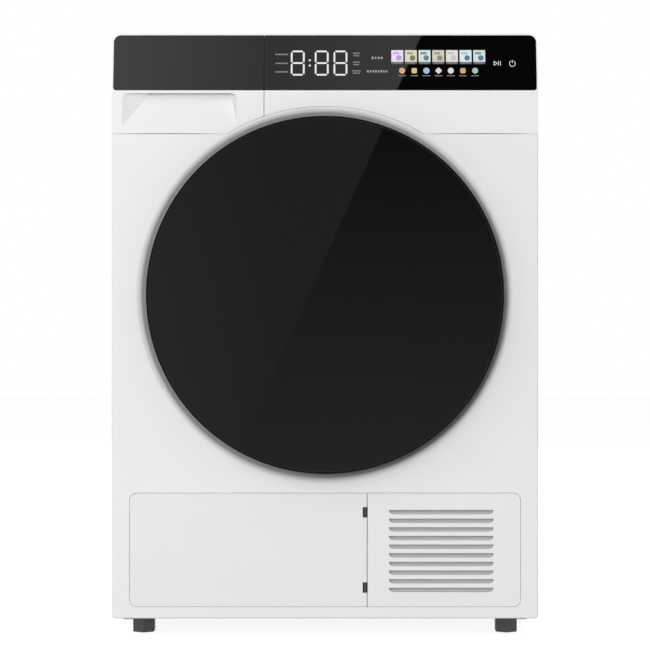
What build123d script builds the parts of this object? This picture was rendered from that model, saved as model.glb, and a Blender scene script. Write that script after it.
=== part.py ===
from build123d import *
import os
from math import acos, atan2, cos, hypot, pi, radians, sin, sqrt

# A free-standing heat-pump tumble dryer, in millimetres. Z is up, the front faces -Y, and the
# origin is on the floor under the middle of the bounding box.

# Overall size
WIDTH = 595.0  # over the side panels
HEIGHT = 845.0  # floor to worktop
CABINET_DEPTH = 570.0  # front sheet to rear sheet
DOOR_PROUD = 42.0  # door glass in front of the front sheet
REAR_COVER_DEPTH = 33.0  # air duct cover behind the rear sheet
FOOT_HEIGHT = 27.0  # floor to the underside of the cabinet

# Walls and gaps
SHEET = 1.2  # painted steel
WALL = 2.5  # moulded plastic
SEAM = 0.8  # joint between outer panels
SEAM_END = 0.25  # the same joint where it closes up at its ends
ARCH_SEAM = 0.4  # joint between the ring and the arch over it
KICK_SEAM = 0.5  # joint round the lower front
SPLIT_SEAM = 0.35  # joint between the flap and the grille
CLEAR = 0.4  # pieces that move past one another
RUN_FIT = 0.05  # radial play of a turning shaft

# Front layout
BAND_H = 82.5  # leaning control band, its height
BAND_LEAN = 13.0  # how far its top edge sits behind the front sheet
SKIRT_H = 59.5  # upright strip of the fascia under the band
SEAM_SAG = 0.7  # rise of the fascia's lower edge at mid length
DRAWER_SPLIT_X = -85.1  # joint between drawer front and fascia
FASCIA_DEPTH = 45.0
CORNER_R = 12.0  # upper corners in front view
BASE_CORNER_R = 5.0  # lower corners in front view
EDGE_R = 2.5  # bent edge of the front sheet
PANEL_RETURN = 16.0  # folded edge of the front sheet

# Control glass
GLASS_T = 3.0
GLASS_PROUD = 0.3
GLASS_SIDE = 2.0  # white frame beside the glass
GLASS_TOP = 2.6  # white frame over the glass
GLASS_FOOT = 1.6  # white lip under the glass
GLASS_CORNER_R = 10.0
GLASS_FOOT_R = 4.0
BOARD_T = 1.6
BOARD_GAP = 3.0
BOARD_SIDE = 7.5
BOARD_H = 56.0
DISPLAY_X = -8.0
DISPLAY_W = 90.0
DISPLAY_H = 46.0

# Door
DOOR_R = 246.0
DOOR_GLASS_T = 4.0
DOOR_RIM = 1.6  # frame lip round the glass
DOOR_TAPER = 9.0  # the skirt narrows by this much toward the cabinet
DOOR_SEAT_GAP = 5.0  # back of the door to the floor of the dish
DOOR_WALL = 3.0
RING_GAP = 11.0  # door edge to the ring's front edge, before its rounding
RING_LIP = 6.6  # from there to the fascia arch
RING_DRAFT = 8.9  # the ring narrows by this much toward the dish
ROLL_R = 9.0  # rounding of its front edge
RING_BEND = 3.5
DISH_DEPTH = 22.0
OPENING_INSET = 39.0  # opening, plug, window and collar, in from the door's edge
OPENING_FLANGE = 24.0
PLUG_INSET = 54.0
PLUG_DRAFT = 6.0
PLUG_DEPTH = 58.0
WINDOW_INSET = 88.0
WINDOW_T = 4.0
WINDOW_DISH = 22.0
SEAL_T = 5.0
SEAL_LIP_GAP = 0.8

# Door hinge, on the right of the door
HINGE_INSET = 14.0  # pin axis inside the door edge
HINGE_FRONT = 20.0  # pin axis in front of the front sheet
PIN_R = 3.5
KNUCKLE_R = 6.5
ARM_T = 8.5
ARM_SIDE = 16.0  # the arm stands this far toward the door's middle
ARM_BEND = 15.0  # depth behind the pin where it turns straight back
ARM_H = 14.0
LEAF_H = 44.0
POCKET_W = 32.0
POCKET_H = 112.0
POCKET_FRONT = 9.0
HINGE_PLATE_T = 3.0
HINGE_PLATE_H = 100.0

# Door grip and lock, on the left of the door
GRIP_W = 22.0
GRIP_H = 150.0
GRIP_DEPTH = 26.0
HOOK_INSET = 30.0  # from the door's edge
HOOK_T = 6.0
HOOK_H = 26.0
HOOK_REACH = 20.0
HOOK_SWAY = 5.0
LOCK_W = 30.0
LOCK_H = 70.0
LOCK_T = 20.0

# Lower front: filter flap and air grille
KICK_SIDE = 24.6
KICK_FOOT = 16.3
KICK_TO_RING = 18.6
ARCH_TO_BAND = 20.5
KICK_R = 10.0
KICK_SPLIT_X = 59.4
KICK_FLANGE = 9.0
FLAP_T = 2.8
FLAP_RIM = 8.5
FLAP_EDGE_R = 0.8
FLAP_HINGE_R = 2.8  # rounding of the edge that turns past the grille
FLAP_PIN_R = 1.4
FLAP_PIN_INSET = 2.9
FLAP_NOTCH_W = 6.6
FLAP_NOTCH_H = 14.6
FLAP_NOTCH_END = 26.6  # notch middle from the flap's upper and lower edges
FLAP_ARM_T = 3.0
LOUVRE_H = 6.1
LOUVRE_PITCH = 12.05
LOUVRE_W = 145.7
LOUVRE_TAPER = 8.5
LOUVRE_X = 162.2
LOUVRE_TOP = 23.8
LOUVRE_FOOT = 25.0
LOUVRE_LIP = 5.5  # straight part of each slot
LOUVRE_RISE = 6.2  # the slot then slants up by this much, and back as far

# Tank drawer
SCOOP_X0 = -283.0
SCOOP_X1 = -123.0
SCOOP_FOOT = 11.5
SCOOP_LIP = 2.2
SCOOP_DEPTH = 16.0
SCOOP_SLANT_LEFT = 32.0
SCOOP_SLANT_RIGHT = 8.0
SCOOP_BACK_H = 6.0
SCOOP_RISE = 8.0
SCOOP_R = 9.0  # upper corners of the scoop at the front
SCOOP_BACK_R = 2.5  # and at its back
TANK_LENGTH = 460.0
TANK_TOP_GAP = 4.0
TANK_R = 10.0
TANK_MOUTH_R = 9.0
TRAY_T = 2.5
TRAY_GAP = 0.6

# Drum and its seats
DRUM_SIDE_GAP = 13.5
DRUM_TOP_GAP = 0.5
DRUM_T = 1.2
DRUM_FRONT = 118.0  # front sheet to the drum's front wall
DRUM_REAR_GAP = 14.0
DRUM_MOUTH_GAP = 22.0  # collar to the drum's mouth
DRUM_NOSE = 14.0
DRUM_BEND = 8.0
DRUM_HUB_R = 78.0
DRUM_HUB_DEPTH = 25.0
DRUM_HOLE_R = 5.0
DRUM_HOLE_SHARES = (0.486, 0.648, 0.81)  # rings of air holes, of the drum's radius
DRUM_HOLE_COUNTS = (16, 20, 24)
LIFTER_COUNT = 3
LIFTER_H = 52.0
LIFTER_W = 74.0
LIFTER_TOP_R = 9.0
LIFTER_END = 26.0
SHAFT_R = 10.0
SHAFT_FLANGE_R = 42.0
SHAFT_FLANGE_T = 4.0
BUSH_R = 15.0
BUSH_LENGTH = 22.0
BRACKET_R = 54.0
BRACKET_T = 6.0
COLLAR_INSET = 46.0
COLLAR_T = 3.0
BULKHEAD_T = 3.0
FELT_LENGTH = 9.0
ROLLER_R = 22.0
ROLLER_W = 18.0
ROLLER_ANGLE = 35.0
ROLLER_AXLE_R = 5.0
ROLLER_BOSS_R = 13.0

# Lint filter
LINT_W = 240.0
LINT_T = 26.0
LINT_H = 120.0
LINT_Y = 85.0
LINT_RIM = 8.0
LINT_RIB = 4.0
LINT_GAP = 0.6

# Base and machinery
BASE_WALL_H = 48.0
BASE_FLOOR_T = 3.5
FLANGE_W = 14.0
TOP_T = 22.0
TOP_SKIN = 3.0
BAY_H = 150.3  # machinery bay over the base's floor
BAY_GAP = 12.0  # drum to the top of the machinery bay
MOTOR_INSET = 157.5  # from the side panel
MOTOR_R = 48.0
MOTOR_Y0 = 70.0
MOTOR_LENGTH = 105.0
ROTOR_R = 5.0
PULLEY_R = 7.0
PULLEY_W = 16.0
FAN_GAP = 10.0
FAN_BLADE_DEPTH = 18.0
FAN_W = 40.0
FAN_BLADES = 16
BELT_Y = 50.0
BELT_W = 9.0
BELT_T = 1.8
IDLER_R = 16.0
IDLER_PUSH = 12.0
IDLER_SPAN = 0.6
IDLER_PIVOT_SIDE = 78.0  # from the motor's axis
IDLER_PIVOT_RISE = 42.0
IDLER_AXLE_R = 4.0
IDLER_W = 11.0
IDLER_PIN_R = 5.0
IDLER_ARM_T = 4.0
IDLER_ARM_W = 18.0
IDLER_POST_T = 8.0
EXCHANGER_INSET = 42.5
EXCHANGER_SPAN = 210.0
EXCHANGER_FRONT = 118.0
EVAPORATOR_D = 75.0
CONDENSER_D = 110.0
EXCHANGER_GAP = 10.0
FIN_COUNT = 14
COMPRESSOR_INSET = 92.5
COMPRESSOR_Y = -125.0
COMPRESSOR_R = 57.0
PUMP_INSET = 82.5
PUMP_Y = 160.0
PUMP_SIZE = 60.0
HOSE_R = 5.0
HOSE_BORE_R = 3.5
HOSE_BEND = 12.0

# Feet
FOOT_INSET = 39.5
FOOT_FRONT = 64.0
FOOT_REAR = 60.0
FOOT_FLATS = 30.0
FOOT_TRAVEL = 12.0
STUD_R = 5.0
STUD_LENGTH = 34.0
STUD_BOSS_R = 11.0

# Rear details
GLAND_INSET = 39.5  # from the side panel
GLAND_Z = 150.0
GLAND_R = 11.0
SCREW_R = 4.0
SCREW_HEAD = 2.0

# Places worked out from the sizes above
DEPTH = DOOR_PROUD + CABINET_DEPTH + REAR_COVER_DEPTH
FRONT_Y = DOOR_PROUD - DEPTH / 2
REAR_Y = FRONT_Y + CABINET_DEPTH
BASE_Z = FOOT_HEIGHT
HALF_W = WIDTH / 2
GLAND_X = HALF_W - GLAND_INSET
FOOT_X = HALF_W - FOOT_INSET
MOTOR_X = HALF_W - MOTOR_INSET
IDLER_PIVOT_X = MOTOR_X - IDLER_PIVOT_SIDE
COMPRESSOR_X = HALF_W - COMPRESSOR_INSET
PUMP_X = PUMP_INSET - HALF_W
EXCHANGER_X0 = EXCHANGER_INSET - HALF_W
EXCHANGER_X1 = EXCHANGER_X0 + EXCHANGER_SPAN
FLOOR_Z = BASE_Z + SHEET
BASE_TOP = FLOOR_Z + BASE_FLOOR_T
BAND_Z = HEIGHT - BAND_H
SKIRT_Z = BAND_Z - SKIRT_H
TOP_Z = HEIGHT - TOP_T
DRUM_SPACE = BAND_Z - DRUM_TOP_GAP - BAY_GAP - BAY_H - BASE_TOP  # height left for the drum
DRUM_R = min(HALF_W - DRUM_SIDE_GAP, DRUM_SPACE / 2)
RING_R = DOOR_R + RING_GAP
RING_EDGE_R = RING_R + RING_LIP
ARCH_R = RING_EDGE_R + ARCH_SEAM
DOOR_Z = BAND_Z - max(DRUM_TOP_GAP + DRUM_R, ARCH_TO_BAND + ARCH_R)
OPENING_R = DOOR_R - OPENING_INSET
PLUG_R = DOOR_R - PLUG_INSET
WINDOW_R = DOOR_R - WINDOW_INSET
HOOK_X = DOOR_R - HOOK_INSET
COLLAR_R = DOOR_R - COLLAR_INSET
DRUM_MOUTH_R = COLLAR_R + DRUM_MOUTH_GAP
KICK_Z0 = BASE_Z + KICK_FOOT
KICK_Z1 = DOOR_Z - RING_R - KICK_TO_RING
KICK_H = KICK_Z1 - KICK_Z0
KICK_HALF = HALF_W - KICK_SIDE
BAY_Z = DOOR_Z - DRUM_R - BAY_GAP
DRUM_Y0 = FRONT_Y + DRUM_FRONT
DRUM_Y1 = REAR_Y - SHEET - DRUM_REAR_GAP
BULKHEAD_Y = FRONT_Y + DISH_DEPTH + OPENING_FLANGE
DOOR_AXIS = Axis((0, 0, DOOR_Z), (0, 1, 0))


def facing_front(y):
    """A sketch plane at depth y, seen from the front: sketch x is X and sketch y is Z."""
    return Plane.XZ.offset(-y)


def turned(points):
    """Points given as (depth, radius) from the door axis, for a sketch on Plane.YZ."""
    return [(y, DOOR_Z + r) for y, r in points]


# Front sheet: a folded pan, with the drawn ring and dish round the door and the lower opening
SLOT_X = -HOOK_X - (HOOK_SWAY - CLEAR) / 2
SLOT_W = HOOK_T + HOOK_SWAY + CLEAR
SLOT_H = HOOK_H + 2 * CLEAR
with BuildPart() as front_panel:
    with BuildSketch(facing_front(FRONT_Y + PANEL_RETURN)) as pan:
        with Locations((0, (BASE_Z + SKIRT_Z) / 2)):
            Rectangle(WIDTH, SKIRT_Z - BASE_Z)
        fillet(pan.vertices().group_by(Axis.Y)[0], BASE_CORNER_R)
    extrude(amount=PANEL_RETURN)
    fillet(front_panel.faces().sort_by(Axis.Y)[0].edges().sort_by(Axis.Z)[:-1], EDGE_R)
    with BuildSketch(facing_front(FRONT_Y + PANEL_RETURN)) as pan_hollow:
        with Locations((0, (BASE_Z + SKIRT_Z) / 2)):
            Rectangle(WIDTH - 2 * SHEET, SKIRT_Z - BASE_Z - 2 * SHEET)
        fillet(pan_hollow.vertices().group_by(Axis.Y)[0], BASE_CORNER_R - SHEET)
    extrude(amount=PANEL_RETURN - SHEET, mode=Mode.SUBTRACT)
    with BuildSketch(facing_front(FRONT_Y + PANEL_RETURN)):
        with Locations((0, DOOR_Z)):
            Circle(RING_EDGE_R - SHEET / 2)
    extrude(amount=PANEL_RETURN, mode=Mode.SUBTRACT)
    with BuildSketch(Plane.YZ):
        with BuildLine():
            FilletPolyline(
                *turned(
                    [
                        (FRONT_Y, RING_EDGE_R),
                        (FRONT_Y, RING_R),
                        (FRONT_Y + DISH_DEPTH, RING_R - RING_DRAFT),
                        (FRONT_Y + DISH_DEPTH, OPENING_R),
                        (BULKHEAD_Y, OPENING_R),
                    ]
                ),
                radius=(ROLL_R, RING_BEND, RING_BEND),
            )
            offset(amount=SHEET, side=Side.LEFT, closed=True)
        make_face()
    revolve(axis=DOOR_AXIS)
    with BuildSketch(facing_front(FRONT_Y + KICK_FLANGE)):
        with Locations((0, KICK_Z0 + KICK_H / 2)):
            RectangleRounded(2 * (KICK_HALF + SHEET), KICK_H + 2 * SHEET, KICK_R + SHEET)
    extrude(amount=KICK_FLANGE)
    with BuildSketch(facing_front(FRONT_Y + KICK_FLANGE)):
        with Locations((0, KICK_Z0 + KICK_H / 2)):
            RectangleRounded(2 * KICK_HALF, KICK_H, KICK_R)
    extrude(amount=KICK_FLANGE, mode=Mode.SUBTRACT)
    with BuildSketch(facing_front(FRONT_Y + DISH_DEPTH + SHEET)):
        with Locations((SLOT_X, DOOR_Z)):
            Rectangle(SLOT_W, SLOT_H)
    extrude(amount=2 * SHEET, mode=Mode.SUBTRACT)

# Upper mouldings: the control fascia on the right and the tank drawer's front on the left
BAND_LENGTH = hypot(BAND_H, BAND_LEAN)
BAND_PLANE = Plane(origin=(0, FRONT_Y, BAND_Z), x_dir=(1, 0, 0), z_dir=(0, -BAND_H, BAND_LEAN))
BAND_WALL = GLASS_T - GLASS_PROUD + WALL
ARCH_HALF = sqrt(max(ARCH_R**2 - (SKIRT_Z - DOOR_Z) ** 2, WALL**2))
FASCIA_X0 = DRAWER_SPLIT_X + SEAM / 2
DRAWER_X1 = DRAWER_SPLIT_X - SEAM / 2


def upper_outline(x_inner, side, inset):
    """Front outline of an upper moulding, moved inward by an inset.

    It runs from its inner end to the cabinet's side, where side is 1 on the right and -1 on the
    left, and its lower edge rises to the arch round the door.
    """
    x_outer = side * (HALF_W - inset)
    x_end = x_inner + side * inset
    x_arch = side * max(ARCH_HALF, side * x_end + CLEAR)
    z_low = SKIRT_Z + SEAM_END + inset
    z_high = HEIGHT - inset
    with BuildSketch(facing_front(FRONT_Y + FASCIA_DEPTH)) as outline:
        with BuildLine():
            middle = ((x_outer + x_arch) / 2, z_low + SEAM_SAG)
            ThreePointArc((x_outer, z_low), middle, (x_arch, z_low))
            Polyline((x_arch, z_low), (x_end, z_low), (x_end, z_high), (x_outer, z_high), (x_outer, z_low))
        make_face()
        top_corners = outline.vertices().group_by(Axis.Y)[-1].sort_by(Axis.X)
        fillet(top_corners[-1 if side > 0 else 0], CORNER_R - inset)
        with Locations((0, DOOR_Z)):
            Circle(ARCH_R + inset, mode=Mode.SUBTRACT)
    return outline.sketch


def band_front(set_back):
    """What lies in front of the leaning band, or in front of a plane behind it."""
    with BuildPart() as front:
        with BuildSketch(BAND_PLANE.offset(-set_back)):
            with Locations((0, BAND_LENGTH / 2)):
                Rectangle(2 * WIDTH, BAND_LENGTH + 2 * set_back)
            with Locations((0, BAND_LENGTH)):
                Rectangle(2 * WIDTH, BAND_LENGTH)
        extrude(amount=FASCIA_DEPTH)
    return front.part


def band_glass(x_inner, side, grow):
    """The glass of one moulding on the leaning band, its outline moved outward by grow."""
    x_outer = side * (HALF_W - GLASS_SIDE + grow)
    y_low = GLASS_FOOT - grow
    y_high = BAND_LENGTH - GLASS_TOP + grow
    with BuildPart() as glass:
        with BuildSketch(BAND_PLANE.offset(GLASS_PROUD)) as outline:
            with Locations(((x_inner + x_outer) / 2, (y_low + y_high) / 2)):
                Rectangle(abs(x_outer - x_inner), y_high - y_low)
            outer = outline.vertices().group_by(Axis.X)[-1 if side > 0 else 0].sort_by(Axis.Y)
            fillet(outer[1], GLASS_CORNER_R + grow)
        extrude(amount=-GLASS_T)
        foot = glass.edges().filter_by(Axis(BAND_PLANE.origin, BAND_PLANE.z_dir)).sort_by(Axis.Z)
        foot = foot[:2].sort_by(Axis.X)[-1 if side > 0 else 0]
        fillet(foot, GLASS_FOOT_R + grow)
    return glass.part


GLASS_FIT = 0.15
band_air = band_front(0)
band_core = band_front(BAND_WALL)
fascia_pocket = band_glass(FASCIA_X0, 1, GLASS_FIT)
drawer_pocket = band_glass(DRAWER_X1, -1, GLASS_FIT)

with BuildPart() as fascia_core:
    extrude(upper_outline(FASCIA_X0, 1, WALL), amount=FASCIA_DEPTH - WALL)
    add(band_core, mode=Mode.SUBTRACT)

with BuildPart() as control_fascia:
    extrude(upper_outline(FASCIA_X0, 1, 0), amount=FASCIA_DEPTH)
    add(band_air, mode=Mode.SUBTRACT)
    add(fascia_core.part, mode=Mode.SUBTRACT)
    add(fascia_pocket, mode=Mode.SUBTRACT)

with BuildPart() as control_glass:
    add(band_glass(FASCIA_X0, 1, 0))

# The control board sits behind the band, its display pressed on the band's back
with BuildPart() as control_board:
    with BuildSketch(BAND_PLANE.offset(-BAND_WALL)):
        with Locations((DISPLAY_X, BAND_LENGTH / 2)):
            Rectangle(DISPLAY_W, DISPLAY_H)
    extrude(amount=-BOARD_GAP)
    with BuildSketch(BAND_PLANE.offset(-BAND_WALL - BOARD_GAP)):
        with Locations(((FASCIA_X0 + HALF_W) / 2, BAND_LENGTH / 2)):
            Rectangle(HALF_W - FASCIA_X0 - 2 * BOARD_SIDE, BOARD_H)
    extrude(amount=-BOARD_T)

# Tank drawer: the front with its grip scoop, and the glass
SCOOP_Z0 = SKIRT_Z + SCOOP_FOOT
SCOOP_Z1 = BAND_Z - SCOOP_LIP
RISE_FRONT = BAND_WALL + BAND_LEAN * SCOOP_RISE / BAND_H + CLEAR
RISE_X0 = SCOOP_X0 + SCOOP_SLANT_LEFT + WALL
RISE_X1 = SCOOP_X1 - SCOOP_SLANT_RIGHT - WALL


def scoop(y_front, y_back, grow):
    """The grip scoop between two depths, its walls moved outward by grow.

    It is deepest under the band: its floor and its two ends slant out to the front face.
    """
    with BuildPart() as frustum:
        for y in (y_front, y_back):
            share = (y - FRONT_Y) / SCOOP_DEPTH
            x0 = SCOOP_X0 + SCOOP_SLANT_LEFT * share - grow
            x1 = SCOOP_X1 - SCOOP_SLANT_RIGHT * share + grow
            z0 = SCOOP_Z0 + (SCOOP_Z1 - SCOOP_BACK_H - SCOOP_Z0) * share - grow
            z1 = SCOOP_Z1 + grow
            with BuildSketch(facing_front(y)) as section:
                with Locations(((x0 + x1) / 2, (z0 + z1) / 2)):
                    Rectangle(x1 - x0, z1 - z0)
                fillet(section.vertices().group_by(Axis.Y)[-1], SCOOP_R + (SCOOP_BACK_R - SCOOP_R) * share)
        loft(ruled=True)
        with BuildSketch(facing_front(FRONT_Y + SCOOP_DEPTH + grow)):
            with Locations(((RISE_X0 + RISE_X1) / 2, SCOOP_Z1 + SCOOP_RISE / 2 - SCOOP_BACK_H / 2)):
                Rectangle(RISE_X1 - RISE_X0 + 2 * grow, SCOOP_RISE + SCOOP_BACK_H + 2 * grow)
        extrude(amount=SCOOP_DEPTH + 2 * grow - RISE_FRONT)
    return frustum.part


scoop_space = scoop(FRONT_Y - WALL, FRONT_Y + SCOOP_DEPTH, 0)
scoop_wall = scoop(FRONT_Y + WALL / 2, FRONT_Y + SCOOP_DEPTH + WALL, WALL)

with BuildPart() as drawer_core:
    extrude(upper_outline(DRAWER_X1, -1, WALL), amount=FASCIA_DEPTH - WALL)
    add(band_core, mode=Mode.SUBTRACT)

with BuildPart() as drawer_front:
    extrude(upper_outline(DRAWER_X1, -1, 0), amount=FASCIA_DEPTH)
    add(band_air, mode=Mode.SUBTRACT)
    add(drawer_core.part, mode=Mode.SUBTRACT)
    add(drawer_pocket, mode=Mode.SUBTRACT)
    add(scoop_wall)
    add(scoop_space, mode=Mode.SUBTRACT)

with BuildPart() as drawer_glass:
    add(band_glass(DRAWER_X1, -1, 0))

# Water tank, carried by the drawer front, and the tray that it slides in
TRAY_X0 = -HALF_W + SHEET
TRAY_X1 = DRAWER_X1
TANK_X0 = TRAY_X0 + TRAY_T + TRAY_GAP
TANK_X1 = TRAY_X1 - TRAY_T - TRAY_GAP
TANK_Y0 = FRONT_Y + SCOOP_DEPTH + WALL
TANK_Y1 = TANK_Y0 + TANK_LENGTH
TRAY_DRUM_GAP = 3.0
TRAY_Z0 = DOOR_Z + sqrt(max((DRUM_R + BELT_T + TRAY_DRUM_GAP) ** 2 - TRAY_X1**2, 0))
TRAY_Z1 = TOP_Z - SHEET
TRAY_Y0 = FRONT_Y + FASCIA_DEPTH + SEAM
TRAY_Y1 = REAR_Y - 2 * SHEET
TANK_Z0 = TRAY_Z0 + TRAY_T + TRAY_GAP
TANK_Z1 = TRAY_Z1 - TANK_TOP_GAP
HOSE_X = TANK_X0 + TANK_MOUTH_R + TANK_R + WALL
HOSE_Y = DRUM_Y1 + DRUM_REAR_GAP / 2 - SHEET / 2
NOZZLE_Z = TANK_Z1 - TANK_MOUTH_R - 2 * WALL
TRAY_REAR = TANK_Y1 + TRAY_GAP + TRAY_T
NOZZLE_REACH = 8.0  # into the tank
NOZZLE_TAIL = (HOSE_Y - HOSE_BEND - TRAY_REAR) / 7  # into the hose
NOZZLE_LENGTH = TRAY_GAP + TRAY_T + NOZZLE_REACH + NOZZLE_TAIL

with BuildPart() as water_tank:
    with BuildSketch(facing_front(TANK_Y1)):
        with Locations(((TANK_X0 + TANK_X1) / 2, (TANK_Z0 + TANK_Z1) / 2)):
            RectangleRounded(TANK_X1 - TANK_X0, TANK_Z1 - TANK_Z0, TANK_R)
    extrude(amount=TANK_LENGTH)
    with BuildSketch(facing_front(TANK_Y1 - WALL)):
        with Locations(((TANK_X0 + TANK_X1) / 2, (TANK_Z0 + TANK_Z1) / 2)):
            RectangleRounded(TANK_X1 - TANK_X0 - 2 * WALL, TANK_Z1 - TANK_Z0 - 2 * WALL, TANK_R - WALL)
    extrude(amount=TANK_LENGTH - 2 * WALL, mode=Mode.SUBTRACT)
    with BuildSketch(facing_front(TANK_Y1)):
        with Locations((HOSE_X, NOZZLE_Z)):
            Circle(TANK_MOUTH_R)
    extrude(amount=WALL, mode=Mode.SUBTRACT)

with BuildPart() as tank_tray:
    with BuildSketch(facing_front(TRAY_Y1)):
        with Locations(((TRAY_X0 + TRAY_X1) / 2, (TRAY_Z0 + TRAY_Z1) / 2)):
            Rectangle(TRAY_X1 - TRAY_X0, TRAY_Z1 - TRAY_Z0)
    extrude(amount=TRAY_Y1 - TRAY_Y0)
    with BuildSketch(facing_front(TRAY_Y1)):
        with Locations(((TRAY_X0 + TRAY_X1) / 2, (TRAY_Z0 + TRAY_Z1 + TRAY_T) / 2)):
            Rectangle(TRAY_X1 - TRAY_X0 - 2 * TRAY_T, TRAY_Z1 - TRAY_Z0 - TRAY_T)
    extrude(amount=TRAY_Y1 - TRAY_REAR, mode=Mode.SUBTRACT)
    with BuildSketch(facing_front(TANK_Y1 + TRAY_GAP)):
        with Locations(((TRAY_X0 + TRAY_X1) / 2, (TRAY_Z0 + TRAY_Z1 + TRAY_T) / 2)):
            Rectangle(TRAY_X1 - TRAY_X0 - 2 * TRAY_T, TRAY_Z1 - TRAY_Z0 - TRAY_T)
    extrude(amount=TANK_Y1 + TRAY_GAP - TRAY_Y0, mode=Mode.SUBTRACT)
    with BuildSketch(facing_front(TRAY_REAR + NOZZLE_TAIL)):
        with Locations((HOSE_X, NOZZLE_Z)):
            Circle(HOSE_BORE_R)
    extrude(amount=NOZZLE_LENGTH)
    with BuildSketch(facing_front(TRAY_REAR + NOZZLE_TAIL)):
        with Locations((HOSE_X, NOZZLE_Z)):
            Circle(HOSE_BORE_R - SHEET)
    extrude(amount=NOZZLE_LENGTH, mode=Mode.SUBTRACT)
    with BuildSketch(Plane.XY.offset(TRAY_Z0)):
        with Locations((HOSE_X, TRAY_Y1)):
            Rectangle(2 * (HOSE_R + WALL), 2 * (TRAY_Y1 - HOSE_Y + HOSE_R + WALL))
    extrude(amount=TRAY_T, mode=Mode.SUBTRACT)

# Side panels: folded sheet with a pressed field, cut back for the upper mouldings
PRESS_DEPTH = 2.0
PRESS_SIDE = 70.0
PRESS_END = 115.0
PRESS_R = 18.0
SIDE_Y0 = FRONT_Y + PANEL_RETURN + SEAM
SIDE_Y1 = REAR_Y - SHEET
SIDE_Y = (SIDE_Y0 + SIDE_Y1) / 2
SIDE_Z = (BASE_Z + TOP_Z) / 2
NOTCH_Y1 = FRONT_Y + FASCIA_DEPTH + SEAM

with BuildPart() as side_panel_left:
    with BuildSketch(Plane.XY.offset(BASE_Z)):
        with BuildLine():
            Polyline(
                (FLANGE_W - HALF_W, SIDE_Y0),
                (-HALF_W, SIDE_Y0),
                (-HALF_W, SIDE_Y1),
                (FLANGE_W - HALF_W, SIDE_Y1),
            )
            offset(amount=SHEET, side=Side.RIGHT, closed=True)
        make_face()
    extrude(amount=TOP_Z - BASE_Z)
    for z in (BASE_Z, TOP_Z - SHEET):
        with BuildSketch(Plane.XY.offset(z)):
            with Locations((FLANGE_W / 2 - HALF_W, SIDE_Y)):
                Rectangle(FLANGE_W, SIDE_Y1 - SIDE_Y0)
        extrude(amount=SHEET)
    with BuildSketch(Plane.YZ.offset(-HALF_W)):
        with Locations((SIDE_Y, SIDE_Z)):
            RectangleRounded(SIDE_Y1 - SIDE_Y0 - 2 * PRESS_SIDE, TOP_Z - BASE_Z - 2 * PRESS_END, PRESS_R)
    extrude(amount=PRESS_DEPTH + SHEET)
    with BuildSketch(Plane.YZ.offset(-HALF_W)):
        with Locations((SIDE_Y, SIDE_Z)):
            RectangleRounded(
                SIDE_Y1 - SIDE_Y0 - 2 * PRESS_SIDE - 2 * SHEET,
                TOP_Z - BASE_Z - 2 * PRESS_END - 2 * SHEET,
                PRESS_R - SHEET,
            )
    extrude(amount=PRESS_DEPTH, mode=Mode.SUBTRACT)
    with BuildSketch(Plane.YZ.offset(-HALF_W)):
        with Locations(((SIDE_Y0 + NOTCH_Y1) / 2, (SKIRT_Z + TOP_Z) / 2)):
            Rectangle(NOTCH_Y1 - SIDE_Y0, TOP_Z - SKIRT_Z)
    extrude(amount=FLANGE_W, mode=Mode.SUBTRACT)

with BuildPart() as side_panel_right:
    mirror(side_panel_left.part, about=Plane.YZ)

# Worktop: a skin with rounded long edges, open underneath
TOP_Y0 = FRONT_Y + FASCIA_DEPTH + SEAM
with BuildPart() as top_panel:
    with BuildSketch(facing_front(REAR_Y)) as slab:
        with Locations((0, HEIGHT - TOP_T / 2)):
            Rectangle(WIDTH, TOP_T)
        fillet(slab.vertices().group_by(Axis.Y)[-1], CORNER_R)
    extrude(amount=REAR_Y - TOP_Y0)
    with BuildSketch(facing_front(REAR_Y - TOP_SKIN)) as slab_hollow:
        with Locations((0, HEIGHT - TOP_SKIN - TOP_T / 2)):
            Rectangle(WIDTH - 2 * TOP_SKIN, TOP_T)
        fillet(slab_hollow.vertices().group_by(Axis.Y)[-1], CORNER_R - TOP_SKIN)
    extrude(amount=REAR_Y - TOP_Y0 - 2 * TOP_SKIN, mode=Mode.SUBTRACT)

# Base tray: stands on the side panels' lower folds, takes the feet and carries the idler's pivot
BASE_HALF = HALF_W - SHEET - CLEAR
BASE_Y0 = SIDE_Y0 + SHEET
BASE_Y1 = REAR_Y - 2 * SHEET
NUB_W = 14.0
NUB_H = 4.8
NUB_X = HALF_W - FLANGE_W - NUB_W / 2 - CLEAR
MOTOR_Z = BASE_TOP + BAY_H / 2
MOTOR_PLACE = (MOTOR_X, MOTOR_Z)
FAN_R = BAY_H / 2 - FAN_GAP - WALL
HOUSING_R = FAN_R + FAN_GAP
IDLER_PIVOT = (IDLER_PIVOT_X, BASE_TOP + IDLER_PIVOT_RISE)
IDLER_ARM_Y0 = BELT_Y + IDLER_W / 2 + 2 * CLEAR
IDLER_POST_Y0 = IDLER_ARM_Y0 + IDLER_ARM_T + CLEAR
FOOT_Y = (FRONT_Y + FOOT_FRONT, REAR_Y - FOOT_REAR)
FOOT_PLACES = [(x, y) for y in FOOT_Y for x in (-FOOT_X, FOOT_X)]
STUD_BOSS_H = STUD_LENGTH + 2 * WALL
FOOT_CHAMFER = 1.0
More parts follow.
